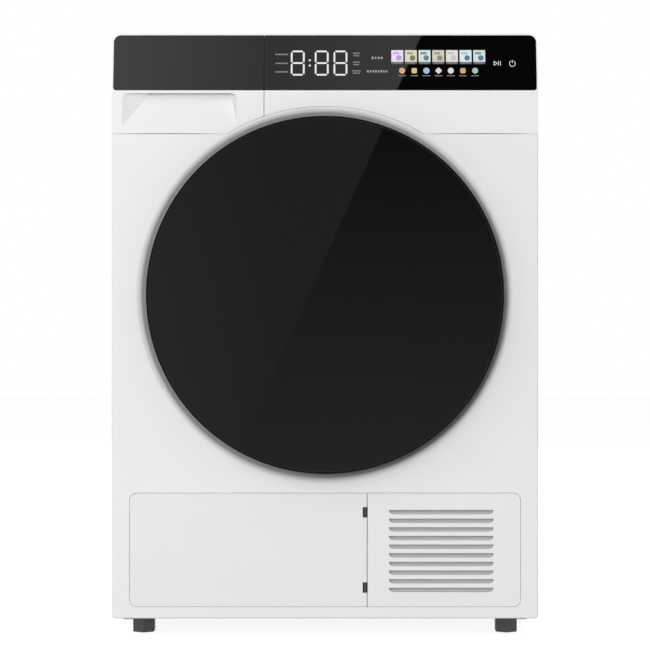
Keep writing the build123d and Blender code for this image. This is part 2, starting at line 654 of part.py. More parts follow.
with BuildPart() as base_tray:
    with BuildSketch(Plane.XY.offset(FLOOR_Z)):
        with Locations((0, (BASE_Y0 + BASE_Y1) / 2)):
            Rectangle(2 * BASE_HALF, BASE_Y1 - BASE_Y0)
    extrude(amount=BASE_WALL_H)
    with BuildSketch(Plane.XY.offset(BASE_TOP)):
        with Locations((0, (BASE_Y0 + BASE_Y1) / 2)):
            Rectangle(2 * (BASE_HALF - WALL), BASE_Y1 - BASE_Y0 - 2 * WALL)
    extrude(amount=BASE_WALL_H, mode=Mode.SUBTRACT)
    with BuildSketch(Plane.XY.offset(FLOOR_Z)):
        with Locations(*FOOT_PLACES):
            Circle(STUD_BOSS_R)
    extrude(amount=STUD_BOSS_H)
    with BuildSketch(Plane.XY.offset(FLOOR_Z)):
        with Locations(*FOOT_PLACES):
            Circle(STUD_R + CLEAR)
    extrude(amount=STUD_BOSS_H - WALL, mode=Mode.SUBTRACT)
    with BuildSketch(Plane.XY.offset(FLOOR_Z - NUB_H)):
        for x in (-NUB_X, NUB_X):
            with Locations((x, BASE_Y0 + NUB_W / 2)):
                Rectangle(NUB_W, NUB_W)
    extrude(amount=NUB_H)
    with BuildSketch(Plane.XY.offset(BASE_TOP)):
        with Locations((MOTOR_X, BASE_Y1 - WALL / 2)):
            Rectangle(2 * (HOUSING_R + WALL + CLEAR), WALL)
    extrude(amount=BASE_WALL_H, mode=Mode.SUBTRACT)
    with BuildSketch(facing_front(IDLER_POST_Y0 + IDLER_POST_T)):
        with Locations((IDLER_PIVOT_X, (BASE_TOP + IDLER_PIVOT[1]) / 2)):
            Rectangle(IDLER_ARM_W, IDLER_PIVOT[1] - BASE_TOP)
        with Locations(IDLER_PIVOT):
            Circle(IDLER_ARM_W / 2)
    extrude(amount=IDLER_POST_T)
    with BuildSketch(facing_front(IDLER_POST_Y0)):
        with Locations(IDLER_PIVOT):
            Circle(IDLER_PIN_R)
    extrude(amount=IDLER_POST_Y0 - IDLER_ARM_Y0)


def levelling_foot(x, y):
    """A hex foot with its stud, a corner toward the front."""
    with BuildPart() as foot:
        with BuildSketch():
            with Locations((x, y)):
                RegularPolygon(radius=FOOT_FLATS / sqrt(3), side_count=6, rotation=30)
        extrude(amount=BASE_Z - CLEAR)
        chamfer(foot.faces().sort_by(Axis.Z)[0].edges(), FOOT_CHAMFER)
        with BuildSketch(Plane.XY.offset(BASE_Z - CLEAR)):
            with Locations((x, y)):
                Circle(STUD_R)
        extrude(amount=STUD_LENGTH)
    return foot


foot_front_left = levelling_foot(*FOOT_PLACES[0])
foot_front_right = levelling_foot(*FOOT_PLACES[1])
foot_rear_left = levelling_foot(*FOOT_PLACES[2])
foot_rear_right = levelling_foot(*FOOT_PLACES[3])

# Door: glass, frame with hinge pocket and grip pocket, liner with its plug, window
GLASS_Y0 = FRONT_Y - DOOR_PROUD
GLASS_Y1 = GLASS_Y0 + DOOR_GLASS_T
DOOR_Y1 = FRONT_Y + DISH_DEPTH - DOOR_SEAT_GAP
SKIRT_Y1 = DOOR_Y1 - DOOR_WALL
PLUG_Y1 = FRONT_Y + PLUG_DEPTH
HINGE_X = DOOR_R - HINGE_INSET
HINGE_Y = FRONT_Y - HINGE_FRONT
DOOR_RIM_STEP = 0.6
GLASS_GAP = 0.2
WINDOW_SEAT = 10.0
GLASS_BEVEL = 1.2

with BuildPart() as door_glass:
    with BuildSketch(facing_front(GLASS_Y1)):
        with Locations((0, DOOR_Z)):
            Circle(DOOR_R - DOOR_RIM - GLASS_GAP)
    extrude(amount=DOOR_GLASS_T)
    chamfer(door_glass.faces().sort_by(Axis.Y)[0].edges(), GLASS_BEVEL)


def door_block(x0, x1, y0, y1, z_half):
    """A block in the door's thickness, kept inside the outer cone of its skirt."""
    with BuildPart() as block:
        with BuildSketch(Plane.YZ):
            with BuildLine():
                skirt = [(GLASS_Y1, 0), (GLASS_Y1, DOOR_R), (SKIRT_Y1, DOOR_R - DOOR_TAPER), (SKIRT_Y1, 0)]
                Polyline(*turned(skirt), close=True)
            make_face()
        revolve(axis=DOOR_AXIS)
        with BuildSketch(facing_front(y1)):
            with Locations(((x0 + x1) / 2, DOOR_Z)):
                Rectangle(x1 - x0, 2 * z_half)
        extrude(amount=y1 - y0, mode=Mode.INTERSECT)
    return block.part


POCKET_X0 = HINGE_X - POCKET_W
POCKET_Y0 = HINGE_Y - POCKET_FRONT
GRIP_X1 = GRIP_W - DOOR_R
GRIP_Y0 = GLASS_Y1 + DOOR_WALL
GRIP_Y1 = GRIP_Y0 + GRIP_DEPTH
hinge_pocket = door_block(
    POCKET_X0 - DOOR_WALL,
    DOOR_R,
    POCKET_Y0 - DOOR_WALL,
    SKIRT_Y1,
    POCKET_H / 2 + DOOR_WALL,
)
grip_pocket = door_block(
    -DOOR_R,
    GRIP_X1 + DOOR_WALL,
    GLASS_Y1,
    GRIP_Y1 + DOOR_WALL,
    GRIP_H / 2 + DOOR_WALL,
)

with BuildPart() as door_frame:
    with BuildSketch(Plane.YZ):
        with BuildLine():
            Polyline(
                *turned(
                    [
                        (GLASS_Y0 + DOOR_RIM_STEP, DOOR_R),
                        (GLASS_Y0 + DOOR_RIM_STEP, DOOR_R - DOOR_RIM),
                        (GLASS_Y1, DOOR_R - DOOR_RIM),
                        (GLASS_Y1, WINDOW_R),
                        (GLASS_Y1 + DOOR_WALL, WINDOW_R),
                        (GLASS_Y1 + DOOR_WALL, DOOR_R - DOOR_WALL),
                        (SKIRT_Y1, DOOR_R - DOOR_TAPER - DOOR_WALL),
                        (SKIRT_Y1, DOOR_R - DOOR_TAPER),
                    ]
                ),
                close=True,
            )
        make_face()
    revolve(axis=DOOR_AXIS)
    add(hinge_pocket)
    add(grip_pocket)
    with BuildSketch(facing_front(SKIRT_Y1)):
        with Locations(((POCKET_X0 + DOOR_R) / 2, DOOR_Z)):
            Rectangle(DOOR_R - POCKET_X0, POCKET_H)
    extrude(amount=SKIRT_Y1 - POCKET_Y0, mode=Mode.SUBTRACT)
    with BuildSketch(facing_front(GRIP_Y1)):
        with Locations(((GRIP_X1 - DOOR_R) / 2, DOOR_Z)):
            Rectangle(GRIP_X1 + DOOR_R, GRIP_H)
    extrude(amount=GRIP_Y1 - GRIP_Y0, mode=Mode.SUBTRACT)

with BuildPart() as door_liner:
    with BuildSketch(Plane.YZ):
        with BuildLine():
            Polyline(
                *turned(
                    [
                        (SKIRT_Y1, DOOR_R - DOOR_TAPER),
                        (DOOR_Y1, DOOR_R - DOOR_TAPER),
                        (DOOR_Y1, PLUG_R),
                        (PLUG_Y1, PLUG_R - PLUG_DRAFT),
                        (PLUG_Y1, WINDOW_R),
                        (PLUG_Y1 - DOOR_WALL, WINDOW_R),
                        (PLUG_Y1 - DOOR_WALL, PLUG_R - PLUG_DRAFT - DOOR_WALL),
                        (SKIRT_Y1, PLUG_R - DOOR_WALL),
                    ]
                ),
                close=True,
            )
        make_face()
    revolve(axis=DOOR_AXIS)
    with BuildSketch(facing_front(DOOR_Y1)):
        with Locations(((POCKET_X0 + DOOR_R) / 2, DOOR_Z)):
            Rectangle(DOOR_R - POCKET_X0, POCKET_H)
    extrude(amount=DOOR_WALL, mode=Mode.SUBTRACT)

WINDOW_Y1 = PLUG_Y1 - DOOR_WALL
WINDOW_RIM_R = WINDOW_R + WINDOW_SEAT
with BuildPart() as door_window:
    with BuildSketch(Plane.YZ):
        with BuildLine():
            near = turned([(WINDOW_Y1, WINDOW_RIM_R), (WINDOW_Y1, WINDOW_R), (WINDOW_Y1 - WINDOW_DISH, 0)])
            far = turned(
                [
                    (WINDOW_Y1 - WINDOW_T - WINDOW_DISH, 0),
                    (WINDOW_Y1 - WINDOW_T, WINDOW_R),
                    (WINDOW_Y1 - WINDOW_T, WINDOW_RIM_R),
                ]
            )
            Line(near[0], near[1])
            TangentArc(near[2], near[1], tangent=(0, 1))
            Line(near[2], far[0])
            TangentArc(far[0], far[1], tangent=(0, 1))
            Line(far[1], far[2])
            Line(far[2], near[0])
        make_face()
    revolve(axis=DOOR_AXIS)

# Door hinge: bracket with two bent arms on the dish, pin, and the leaf in the door's pocket
ARM_Z = LEAF_H / 2 + CLEAR
DISH_Y = FRONT_Y + DISH_DEPTH
PIN_LENGTH = 2 * (ARM_Z + ARM_H)
LEAF_TAIL = 24.0
with BuildPart() as hinge_bracket:
    for z in (DOOR_Z - ARM_Z - ARM_H, DOOR_Z + ARM_Z):
        with BuildSketch(Plane.XY.offset(z)):
            with Locations((HINGE_X, HINGE_Y)):
                Circle(KNUCKLE_R)
            with Locations((HINGE_X - ARM_SIDE, HINGE_Y + ARM_BEND)):
                Circle(ARM_T / 2)
            make_hull()
            with Locations((HINGE_X - ARM_SIDE, (HINGE_Y + ARM_BEND + DISH_Y) / 2)):
                Rectangle(ARM_T, DISH_Y - HINGE_Y - ARM_BEND)
            with Locations((HINGE_X, HINGE_Y)):
                Circle(PIN_R, mode=Mode.SUBTRACT)
        extrude(amount=ARM_H)
    with BuildSketch(facing_front(DISH_Y)):
        with Locations((HINGE_X - ARM_SIDE + ARM_T / 2, DOOR_Z)):
            RectangleRounded(2 * ARM_T, HINGE_PLATE_H, PIN_R)
    extrude(amount=HINGE_PLATE_T)

with BuildPart() as hinge_pin:
    with BuildSketch(Plane.XY.offset(DOOR_Z - PIN_LENGTH / 2)):
        with Locations((HINGE_X, HINGE_Y)):
            Circle(PIN_R)
    extrude(amount=PIN_LENGTH)

with BuildPart() as hinge_leaf:
    with BuildSketch(Plane.XY.offset(DOOR_Z - LEAF_H / 2)):
        with Locations((HINGE_X, HINGE_Y)):
            Circle(KNUCKLE_R)
        with Locations((HINGE_X - LEAF_TAIL / 2, HINGE_Y - (POCKET_FRONT + PIN_R) / 2)):
            Rectangle(LEAF_TAIL, POCKET_FRONT - PIN_R)
        make_hull()
        with Locations((HINGE_X, HINGE_Y)):
            Circle(PIN_R + RUN_FIT, mode=Mode.SUBTRACT)
    extrude(amount=LEAF_H)

# Door hook, the lock behind the dish, and the seal on the bulkhead
HOOK_PAD_T = 2.0
HOOK_NECK = 1.4
with BuildPart() as door_hook:
    with BuildSketch(Plane.XY.offset(DOOR_Z - HOOK_H / 2)):
        with BuildLine():
            x0 = -HOOK_X - HOOK_T / 2
            x1 = -HOOK_X + HOOK_T / 2
            tip = DOOR_Y1 + HOOK_REACH
            Polyline(
                (x0, DOOR_Y1),
                (x1, DOOR_Y1),
                (x1, tip - HOOK_T),
                (x1 - HOOK_NECK, tip),
                (x0 + HOOK_NECK, tip),
                (x0, tip - HOOK_T),
                (x0, tip - 1.5 * HOOK_T),
                (x0 + HOOK_NECK, tip - 2 * HOOK_T),
                close=True,
            )
        make_face()
    extrude(amount=HOOK_H)
    with BuildSketch(facing_front(DOOR_Y1 + HOOK_PAD_T)):
        with Locations((-HOOK_X, DOOR_Z)):
            RectangleRounded(3 * HOOK_T, HOOK_H + 2 * HOOK_T, HOOK_T / 2)
    extrude(amount=HOOK_PAD_T)

LOCK_Y0 = DISH_Y + SHEET
LOCK_X = -(OPENING_R + RING_BEND + CLEAR + LOCK_W / 2)
with BuildPart() as door_lock:
    with BuildSketch(facing_front(LOCK_Y0 + LOCK_T)):
        with Locations((LOCK_X, DOOR_Z)):
            RectangleRounded(LOCK_W, LOCK_H, SHEET)
    extrude(amount=LOCK_T)
    with BuildSketch(facing_front(LOCK_Y0 + LOCK_T - WALL)):
        with Locations((SLOT_X, DOOR_Z)):
            Rectangle(SLOT_W, SLOT_H)
    extrude(amount=LOCK_T - WALL, mode=Mode.SUBTRACT)

SEAL_Y0 = BULKHEAD_Y - SEAL_T
SEAL_SHARE = (SEAL_Y0 + SEAL_T / 2 - DOOR_Y1) / (PLUG_Y1 - DOOR_Y1)
SEAL_LIP_R = PLUG_R - PLUG_DRAFT * SEAL_SHARE + SEAL_LIP_GAP
with BuildPart() as door_seal:
    with BuildSketch(Plane.YZ):
        with BuildLine():
            Polyline(
                *turned(
                    [
                        (SEAL_Y0, OPENING_R - CLEAR),
                        (BULKHEAD_Y, OPENING_R - CLEAR),
                        (BULKHEAD_Y, COLLAR_R + CLEAR),
                        (BULKHEAD_Y - SEAL_T / 4, SEAL_LIP_R),
                        (SEAL_Y0 + SEAL_T / 4, SEAL_LIP_R),
                        (SEAL_Y0, COLLAR_R + CLEAR),
                    ]
                ),
                close=True,
            )
        make_face()
    revolve(axis=DOOR_AXIS)

# Lower front: the filter flap, hinged on its right edge, and the louvred air grille
FLAP_X0 = KICK_SEAM - KICK_HALF
FLAP_X1 = KICK_SPLIT_X - SPLIT_SEAM / 2
GRILLE_X0 = KICK_SPLIT_X + SPLIT_SEAM / 2
GRILLE_X1 = KICK_HALF - KICK_SEAM
FLAP_Z0 = KICK_Z0 + KICK_SEAM
FLAP_Z1 = KICK_Z1 - KICK_SEAM
FLAP_PIN_X = FLAP_X1 - FLAP_PIN_INSET
FLAP_PIN_Y = FRONT_Y + FLAP_PIN_INSET
NOTCH_Z = (FLAP_Z0 + FLAP_NOTCH_END, FLAP_Z1 - FLAP_NOTCH_END)
FLAP_KNUCKLE = 9.0
FLAP_WALL = 2.0
GRILLE_RIB = 6.0


def kick_outline(x0, x1, side, inset):
    """Front outline of the flap or the grille, rounded on its outer side only."""
    with BuildSketch(facing_front(FRONT_Y + FLAP_RIM)) as outline:
        with Locations(((x0 + x1) / 2, (FLAP_Z0 + FLAP_Z1) / 2)):
            Rectangle(x1 - x0 - 2 * inset, FLAP_Z1 - FLAP_Z0 - 2 * inset)
        fillet(outline.vertices().group_by(Axis.X)[-1 if side > 0 else 0], KICK_R - KICK_SEAM - inset)
    return outline.sketch


with BuildPart() as filter_flap:
    extrude(kick_outline(FLAP_X0, FLAP_X1, -1, 0), amount=FLAP_RIM)
    rim = filter_flap.faces().sort_by(Axis.Y)[0].edges().sort_by(Axis.X)
    fillet(rim[-1], FLAP_HINGE_R)
    extrude(kick_outline(FLAP_X0, FLAP_X1, -1, FLAP_WALL), amount=FLAP_RIM - FLAP_T, mode=Mode.SUBTRACT)
    for z in NOTCH_Z:
        with BuildSketch(Plane.XY.offset(z - FLAP_NOTCH_H / 2 - FLAP_KNUCKLE)):
            with Locations((FLAP_PIN_X, FLAP_PIN_Y)):
                Circle(FLAP_PIN_INSET)
        extrude(amount=FLAP_NOTCH_H + 2 * FLAP_KNUCKLE)
        with BuildSketch(Plane.XY.offset(z - FLAP_NOTCH_H / 2)):
            with Locations((FLAP_X1 - FLAP_NOTCH_W / 2, FRONT_Y + FLAP_RIM / 2)):
                Rectangle(FLAP_NOTCH_W, FLAP_RIM)
        extrude(amount=FLAP_NOTCH_H, mode=Mode.SUBTRACT)
        with BuildSketch(Plane.XY.offset(z - FLAP_NOTCH_H / 2 - FLAP_KNUCKLE)):
            with Locations((FLAP_PIN_X, FLAP_PIN_Y)):
                Circle(FLAP_PIN_R + RUN_FIT)
        extrude(amount=FLAP_NOTCH_H + 2 * FLAP_KNUCKLE, mode=Mode.SUBTRACT)

# Each flap hinge is a pin on an arm that reaches round from the back of the grille
ARM_BACK_X = FLAP_PIN_X - FLAP_ARM_T / 2
ARM_BACK_Y = FRONT_Y + FLAP_RIM + 2 * FLAP_ARM_T
ARM_FOOT_X = GRILLE_X0 + FLAP_WALL
with BuildPart() as flap_hinge_pins:
    for z in NOTCH_Z:
        with BuildSketch(Plane.XY.offset(z - FLAP_NOTCH_H / 2 - FLAP_KNUCKLE)):
            with Locations((FLAP_PIN_X, FLAP_PIN_Y)):
                Circle(FLAP_PIN_R)
        extrude(amount=FLAP_NOTCH_H + 2 * FLAP_KNUCKLE)
        with BuildSketch(Plane.XY.offset(z - FLAP_NOTCH_H / 2 + CLEAR)):
            with Locations((FLAP_PIN_X, (FLAP_PIN_Y + ARM_BACK_Y) / 2)):
                Rectangle(FLAP_ARM_T, ARM_BACK_Y - FLAP_PIN_Y)
            with Locations((FLAP_PIN_X, FLAP_PIN_Y)):
                Circle(FLAP_PIN_R + SHEET / 2)
            with Locations(((ARM_BACK_X + ARM_FOOT_X + GRILLE_RIB) / 2, ARM_BACK_Y - FLAP_ARM_T / 2)):
                Rectangle(ARM_FOOT_X + GRILLE_RIB - ARM_BACK_X, FLAP_ARM_T)
            with Locations((ARM_FOOT_X + GRILLE_RIB / 2, (FRONT_Y + FLAP_T + ARM_BACK_Y) / 2)):
                Rectangle(GRILLE_RIB, ARM_BACK_Y - FRONT_Y - FLAP_T)
        extrude(amount=FLAP_NOTCH_H - 2 * CLEAR)

LOUVRE_COUNT = int((KICK_H - LOUVRE_TOP - LOUVRE_FOOT) / LOUVRE_PITCH) + 1
LOUVRE_Z1 = KICK_Z1 - LOUVRE_TOP
LOUVRE_DEPTH = LOUVRE_LIP + LOUVRE_RISE
LOUVRE_Z0 = LOUVRE_Z1 - (LOUVRE_COUNT - 1) * LOUVRE_PITCH - LOUVRE_H
with BuildPart() as air_grille:
    extrude(kick_outline(GRILLE_X0, GRILLE_X1, 1, 0), amount=FLAP_RIM)
    extrude(kick_outline(GRILLE_X0, GRILLE_X1, 1, FLAP_WALL), amount=FLAP_RIM - FLAP_T, mode=Mode.SUBTRACT)
    with BuildSketch(facing_front(FRONT_Y + LOUVRE_DEPTH)):
        with Locations((LOUVRE_X, (LOUVRE_Z0 + LOUVRE_Z1 + LOUVRE_RISE) / 2)):
            Rectangle(LOUVRE_W + 2 * FLAP_T, LOUVRE_Z1 - LOUVRE_Z0 + LOUVRE_RISE + 2 * FLAP_T)
    extrude(amount=LOUVRE_DEPTH)
    with BuildSketch(facing_front(FRONT_Y)) as slots:
        for i in range(LOUVRE_COUNT):
            z = LOUVRE_Z1 - i * LOUVRE_PITCH
            x0 = LOUVRE_X - LOUVRE_W / 2
            x1 = LOUVRE_X + LOUVRE_W / 2
            foot = z - LOUVRE_H
            with BuildLine():
                Line((x0, z), (x1, z))
                Spline((x1, z), (x1 - LOUVRE_TAPER, foot), tangents=((0, -1), (-1, 0)))
                Line((x1 - LOUVRE_TAPER, foot), (x0 + LOUVRE_TAPER, foot))
                Spline((x0 + LOUVRE_TAPER, foot), (x0, z), tangents=((-1, 0), (0, 1)))
            make_face()
    extrude(amount=-LOUVRE_LIP, mode=Mode.SUBTRACT)
    slanted = slots.sketch.moved(Location((0, LOUVRE_LIP, 0)))
    extrude(slanted, amount=LOUVRE_RISE * sqrt(2), dir=(0, 1, 1), mode=Mode.SUBTRACT)

# Front bulkhead: plate, collar of the drum mouth, shaft of the lint filter, roller bosses
BULKHEAD_HALF = HALF_W - SHEET - CLEAR
BULKHEAD_Z0 = KICK_Z1 + 2 * SHEET
BULKHEAD_Z1 = TRAY_Z0 - TRAY_DRUM_GAP
COLLAR_Y1 = DRUM_Y0 - 2 * WALL
LINT_MID_Y = FRONT_Y + LINT_Y
LINT_Z0 = DOOR_Z - COLLAR_R - LINT_H
LINT_Z1 = DOOR_Z - COLLAR_R / 2
ROLLER_X = (DRUM_R + CLEAR + ROLLER_R) * sin(radians(ROLLER_ANGLE))
ROLLER_Z = DOOR_Z - (DRUM_R + CLEAR + ROLLER_R) * cos(radians(ROLLER_ANGLE))
ROLLER_Y0 = DRUM_Y0 + DRUM_BEND + 2 * WALL
ROLLER_PLACES = [(-ROLLER_X, ROLLER_Z), (ROLLER_X, ROLLER_Z)]
ROLLER_BOSS_Y1 = ROLLER_Y0 - CLEAR
with BuildPart() as front_bulkhead:
    with BuildSketch(facing_front(BULKHEAD_Y + BULKHEAD_T)):
        with Locations((0, (BULKHEAD_Z0 + BULKHEAD_Z1) / 2)):
            Rectangle(2 * BULKHEAD_HALF, BULKHEAD_Z1 - BULKHEAD_Z0)
    extrude(amount=BULKHEAD_T)
    for x in (WALL / 2 - BULKHEAD_HALF, BULKHEAD_HALF - WALL / 2):
        with BuildSketch(facing_front(BULKHEAD_Y)):
            with Locations((x, (BULKHEAD_Z0 + SKIRT_Z) / 2)):
                Rectangle(WALL, SKIRT_Z - BULKHEAD_Z0)
        extrude(amount=BULKHEAD_Y - BASE_Y0)
    with BuildSketch(facing_front(COLLAR_Y1)):
        with Locations((0, DOOR_Z)):
            Circle(COLLAR_R + COLLAR_T)
    extrude(amount=COLLAR_Y1 - BULKHEAD_Y)
    with BuildSketch(Plane.XY.offset(LINT_Z0)):
        with Locations((0, LINT_MID_Y)):
            Rectangle(LINT_W + 2 * (LINT_GAP + WALL), LINT_T + 2 * (LINT_GAP + WALL))
    extrude(amount=LINT_Z1 - LINT_Z0)
    with BuildSketch(facing_front(COLLAR_Y1)):
        with Locations((0, DOOR_Z)):
            Circle(COLLAR_R)
    extrude(amount=COLLAR_Y1 - BULKHEAD_Y, mode=Mode.SUBTRACT)
    with BuildSketch(Plane.XY.offset(LINT_Z0)):
        with Locations((0, LINT_MID_Y)):
            Rectangle(LINT_W + 2 * LINT_GAP, LINT_T + 2 * LINT_GAP)
    extrude(amount=LINT_Z1 - LINT_Z0, mode=Mode.SUBTRACT)
    with BuildSketch(Plane.XY.offset(LINT_Z0)):
        for x in (-LINT_W / 2 - LINT_GAP, LINT_W / 2 + LINT_GAP):
            with Locations((x, LINT_MID_Y)):
                Rectangle(2 * LINT_RIM, LINT_T + 2 * (LINT_GAP + WALL))
    extrude(amount=-WALL)
    with BuildSketch(facing_front(ROLLER_BOSS_Y1)):
        with Locations(*ROLLER_PLACES):
            Circle(ROLLER_BOSS_R)
    extrude(amount=ROLLER_BOSS_Y1 - BULKHEAD_Y)
    with BuildSketch(facing_front(ROLLER_BOSS_Y1)):
        with Locations(*ROLLER_PLACES):
            Circle(ROLLER_AXLE_R)
    extrude(amount=ROLLER_BOSS_R * 2, mode=Mode.SUBTRACT)

with BuildPart() as lint_filter:
    with BuildSketch(Plane.XY.offset(LINT_Z0)):
        with Locations((0, LINT_MID_Y)):
            RectangleRounded(LINT_W, LINT_T, LINT_RIB)
    extrude(amount=LINT_Z1 - LINT_Z0)
    with BuildSketch(facing_front(LINT_MID_Y + LINT_T)):
        with Locations((0, DOOR_Z)):
            Circle(COLLAR_R)
    extrude(amount=2 * LINT_T, mode=Mode.SUBTRACT)
    LINT_BAY_W = (LINT_W - 2 * LINT_RIM - 2 * LINT_RIB) / 3
    LINT_BAY_H = LINT_H - 5 * LINT_RIM
    with BuildSketch(facing_front(LINT_MID_Y + LINT_T)):
        with Locations((0, LINT_Z0 + LINT_RIM + LINT_BAY_H / 2)):
            with GridLocations(LINT_BAY_W + LINT_RIB, 1, 3, 1):
                Rectangle(LINT_BAY_W, LINT_BAY_H)
        with Locations((0, LINT_Z0 + LINT_H - 2 * LINT_RIM)):
            SlotOverall(8 * LINT_RIM, 2 * LINT_RIM)
    extrude(amount=2 * LINT_T, mode=Mode.SUBTRACT)

MESH_T = 0.8
with BuildPart() as lint_mesh:
    with BuildSketch(facing_front(LINT_MID_Y + MESH_T / 2)):
        with Locations((0, LINT_Z0 + LINT_RIM + LINT_BAY_H / 2)):
            with GridLocations(LINT_BAY_W + LINT_RIB, 1, 3, 1):
                Rectangle(LINT_BAY_W, LINT_BAY_H)
    extrude(amount=MESH_T)

# Drum, its lifters, the felt at its mouth, and its seats
MOUTH_IN_R = DRUM_MOUTH_R - DRUM_T
HUB_Y = DRUM_Y1 - DRUM_HUB_DEPTH
with BuildPart() as drum:
    with BuildSketch(Plane.YZ):
        with BuildLine():
            FilletPolyline(
                *turned(
                    [
                        (DRUM_Y0 - DRUM_NOSE, DRUM_MOUTH_R),
                        (DRUM_Y0, DRUM_MOUTH_R),
                        (DRUM_Y0, DRUM_R),
                        (DRUM_Y1, DRUM_R),
                        (DRUM_Y1, DRUM_HUB_R),
                        (HUB_Y, DRUM_HUB_R - DRUM_BEND),
                        (HUB_Y, SHAFT_R / 2),
                    ]
                ),
                radius=DRUM_BEND,
            )
            offset(amount=DRUM_T, side=Side.RIGHT, closed=True)
        make_face()
    revolve(axis=DOOR_AXIS)
    with BuildSketch(facing_front(DRUM_Y1)):
        with Locations((0, DOOR_Z)):
            for share, count in zip(DRUM_HOLE_SHARES, DRUM_HOLE_COUNTS):
                with PolarLocations(share * DRUM_R, count):
                    Circle(DRUM_HOLE_R)
    extrude(amount=2 * DRUM_T, mode=Mode.SUBTRACT)

LIFTER_Y0 = DRUM_Y0 + LIFTER_END
LIFTER_Y1 = DRUM_Y1 - LIFTER_END
DRUM_IN_R = DRUM_R - DRUM_T
LIFTER_Z0 = DOOR_Z - DRUM_R
with BuildPart() as lifter:
    with BuildSketch(facing_front(LIFTER_Y1)) as ridge:
        with BuildLine():
            Polyline(
                (-LIFTER_W / 2, LIFTER_Z0),
                (-LIFTER_TOP_R, LIFTER_Z0 + LIFTER_H),
                (LIFTER_TOP_R, LIFTER_Z0 + LIFTER_H),
                (LIFTER_W / 2, LIFTER_Z0),
                close=True,
            )
        make_face()
        fillet(ridge.vertices().group_by(Axis.Y)[-1], LIFTER_TOP_R)
        with Locations((0, DOOR_Z)):
            Circle(DRUM_IN_R, mode=Mode.INTERSECT)
    extrude(amount=LIFTER_Y1 - LIFTER_Y0)
    with BuildSketch(Plane.YZ.offset(-LIFTER_W)):
        with BuildLine():
            Polyline(
                (LIFTER_Y0, LIFTER_Z0),
                (LIFTER_Y0 + LIFTER_END, LIFTER_Z0 + LIFTER_H),
                (LIFTER_Y1 - LIFTER_END, LIFTER_Z0 + LIFTER_H),
                (LIFTER_Y1, LIFTER_Z0),
                close=True,
            )
        make_face()
    extrude(amount=2 * LIFTER_W, mode=Mode.INTERSECT)

with BuildPart() as drum_lifters:
    for i in range(LIFTER_COUNT):
        add(lifter.part.rotate(DOOR_AXIS, i * 360 / LIFTER_COUNT))

FELT_Y1 = COLLAR_Y1 - SHEET
with BuildPart() as drum_felt:
    with BuildSketch(facing_front(FELT_Y1)):
        with Locations((0, DOOR_Z)):
            Circle(MOUTH_IN_R - CLEAR)
            Circle(COLLAR_R + COLLAR_T, mode=Mode.SUBTRACT)
    extrude(amount=FELT_LENGTH)

SHAFT_Y1 = REAR_Y + SHAFT_R
BUSH_Y0 = REAR_Y - SHEET - BUSH_LENGTH
with BuildPart() as drum_shaft:
    with BuildSketch(facing_front(HUB_Y + SHAFT_FLANGE_T)):
        with Locations((0, DOOR_Z)):
            Circle(SHAFT_FLANGE_R)
    extrude(amount=SHAFT_FLANGE_T)
    with BuildSketch(facing_front(SHAFT_Y1)):
        with Locations((0, DOOR_Z)):
            Circle(SHAFT_R)
    extrude(amount=SHAFT_Y1 - HUB_Y)

with BuildPart() as rear_bush:
    with BuildSketch(facing_front(REAR_Y - SHEET)):
        with Locations((0, DOOR_Z)):
            Circle(BUSH_R)
            Circle(SHAFT_R + RUN_FIT, mode=Mode.SUBTRACT)
    extrude(amount=BUSH_LENGTH)

BRACKET_BOSS_R = BUSH_R + 3 * WALL
with BuildPart() as bearing_bracket:
    with BuildSketch(facing_front(REAR_Y - SHEET)):
        with Locations((0, DOOR_Z)):
            Circle(BRACKET_R)
    extrude(amount=BRACKET_T)
    with BuildSketch(facing_front(REAR_Y - SHEET)):
        with Locations((0, DOOR_Z)):
            Circle(BRACKET_BOSS_R)
    extrude(amount=BUSH_LENGTH)
    with BuildSketch(facing_front(REAR_Y - SHEET)):
        with Locations((0, DOOR_Z)):
            Circle(BUSH_R)
    extrude(amount=BUSH_LENGTH, mode=Mode.SUBTRACT)


def support_roller(x):
    """A tyre under the drum's front rim."""
    with BuildPart() as roller:
        with BuildSketch(facing_front(ROLLER_Y0 + ROLLER_W)):
            with Locations((x, ROLLER_Z)):
                Circle(ROLLER_R)
                Circle(ROLLER_AXLE_R + RUN_FIT, mode=Mode.SUBTRACT)
        extrude(amount=ROLLER_W)
        chamfer(roller.edges().filter_by(GeomType.CIRCLE).sort_by(SortBy.RADIUS)[-2:], SHEET)
    return roller


support_roller_left = support_roller(-ROLLER_X)
support_roller_right = support_roller(ROLLER_X)

with BuildPart() as roller_axles:
    with BuildSketch(facing_front(ROLLER_Y0 + ROLLER_W + 2 * WALL)):
        with Locations(*ROLLER_PLACES):
            Circle(ROLLER_AXLE_R)
    extrude(amount=ROLLER_W + 2 * WALL + ROLLER_BOSS_R)
    with BuildSketch(facing_front(ROLLER_Y0 + ROLLER_W + 2 * WALL)):
        with Locations(*ROLLER_PLACES):
            Circle(ROLLER_AXLE_R + WALL)
    extrude(amount=WALL)

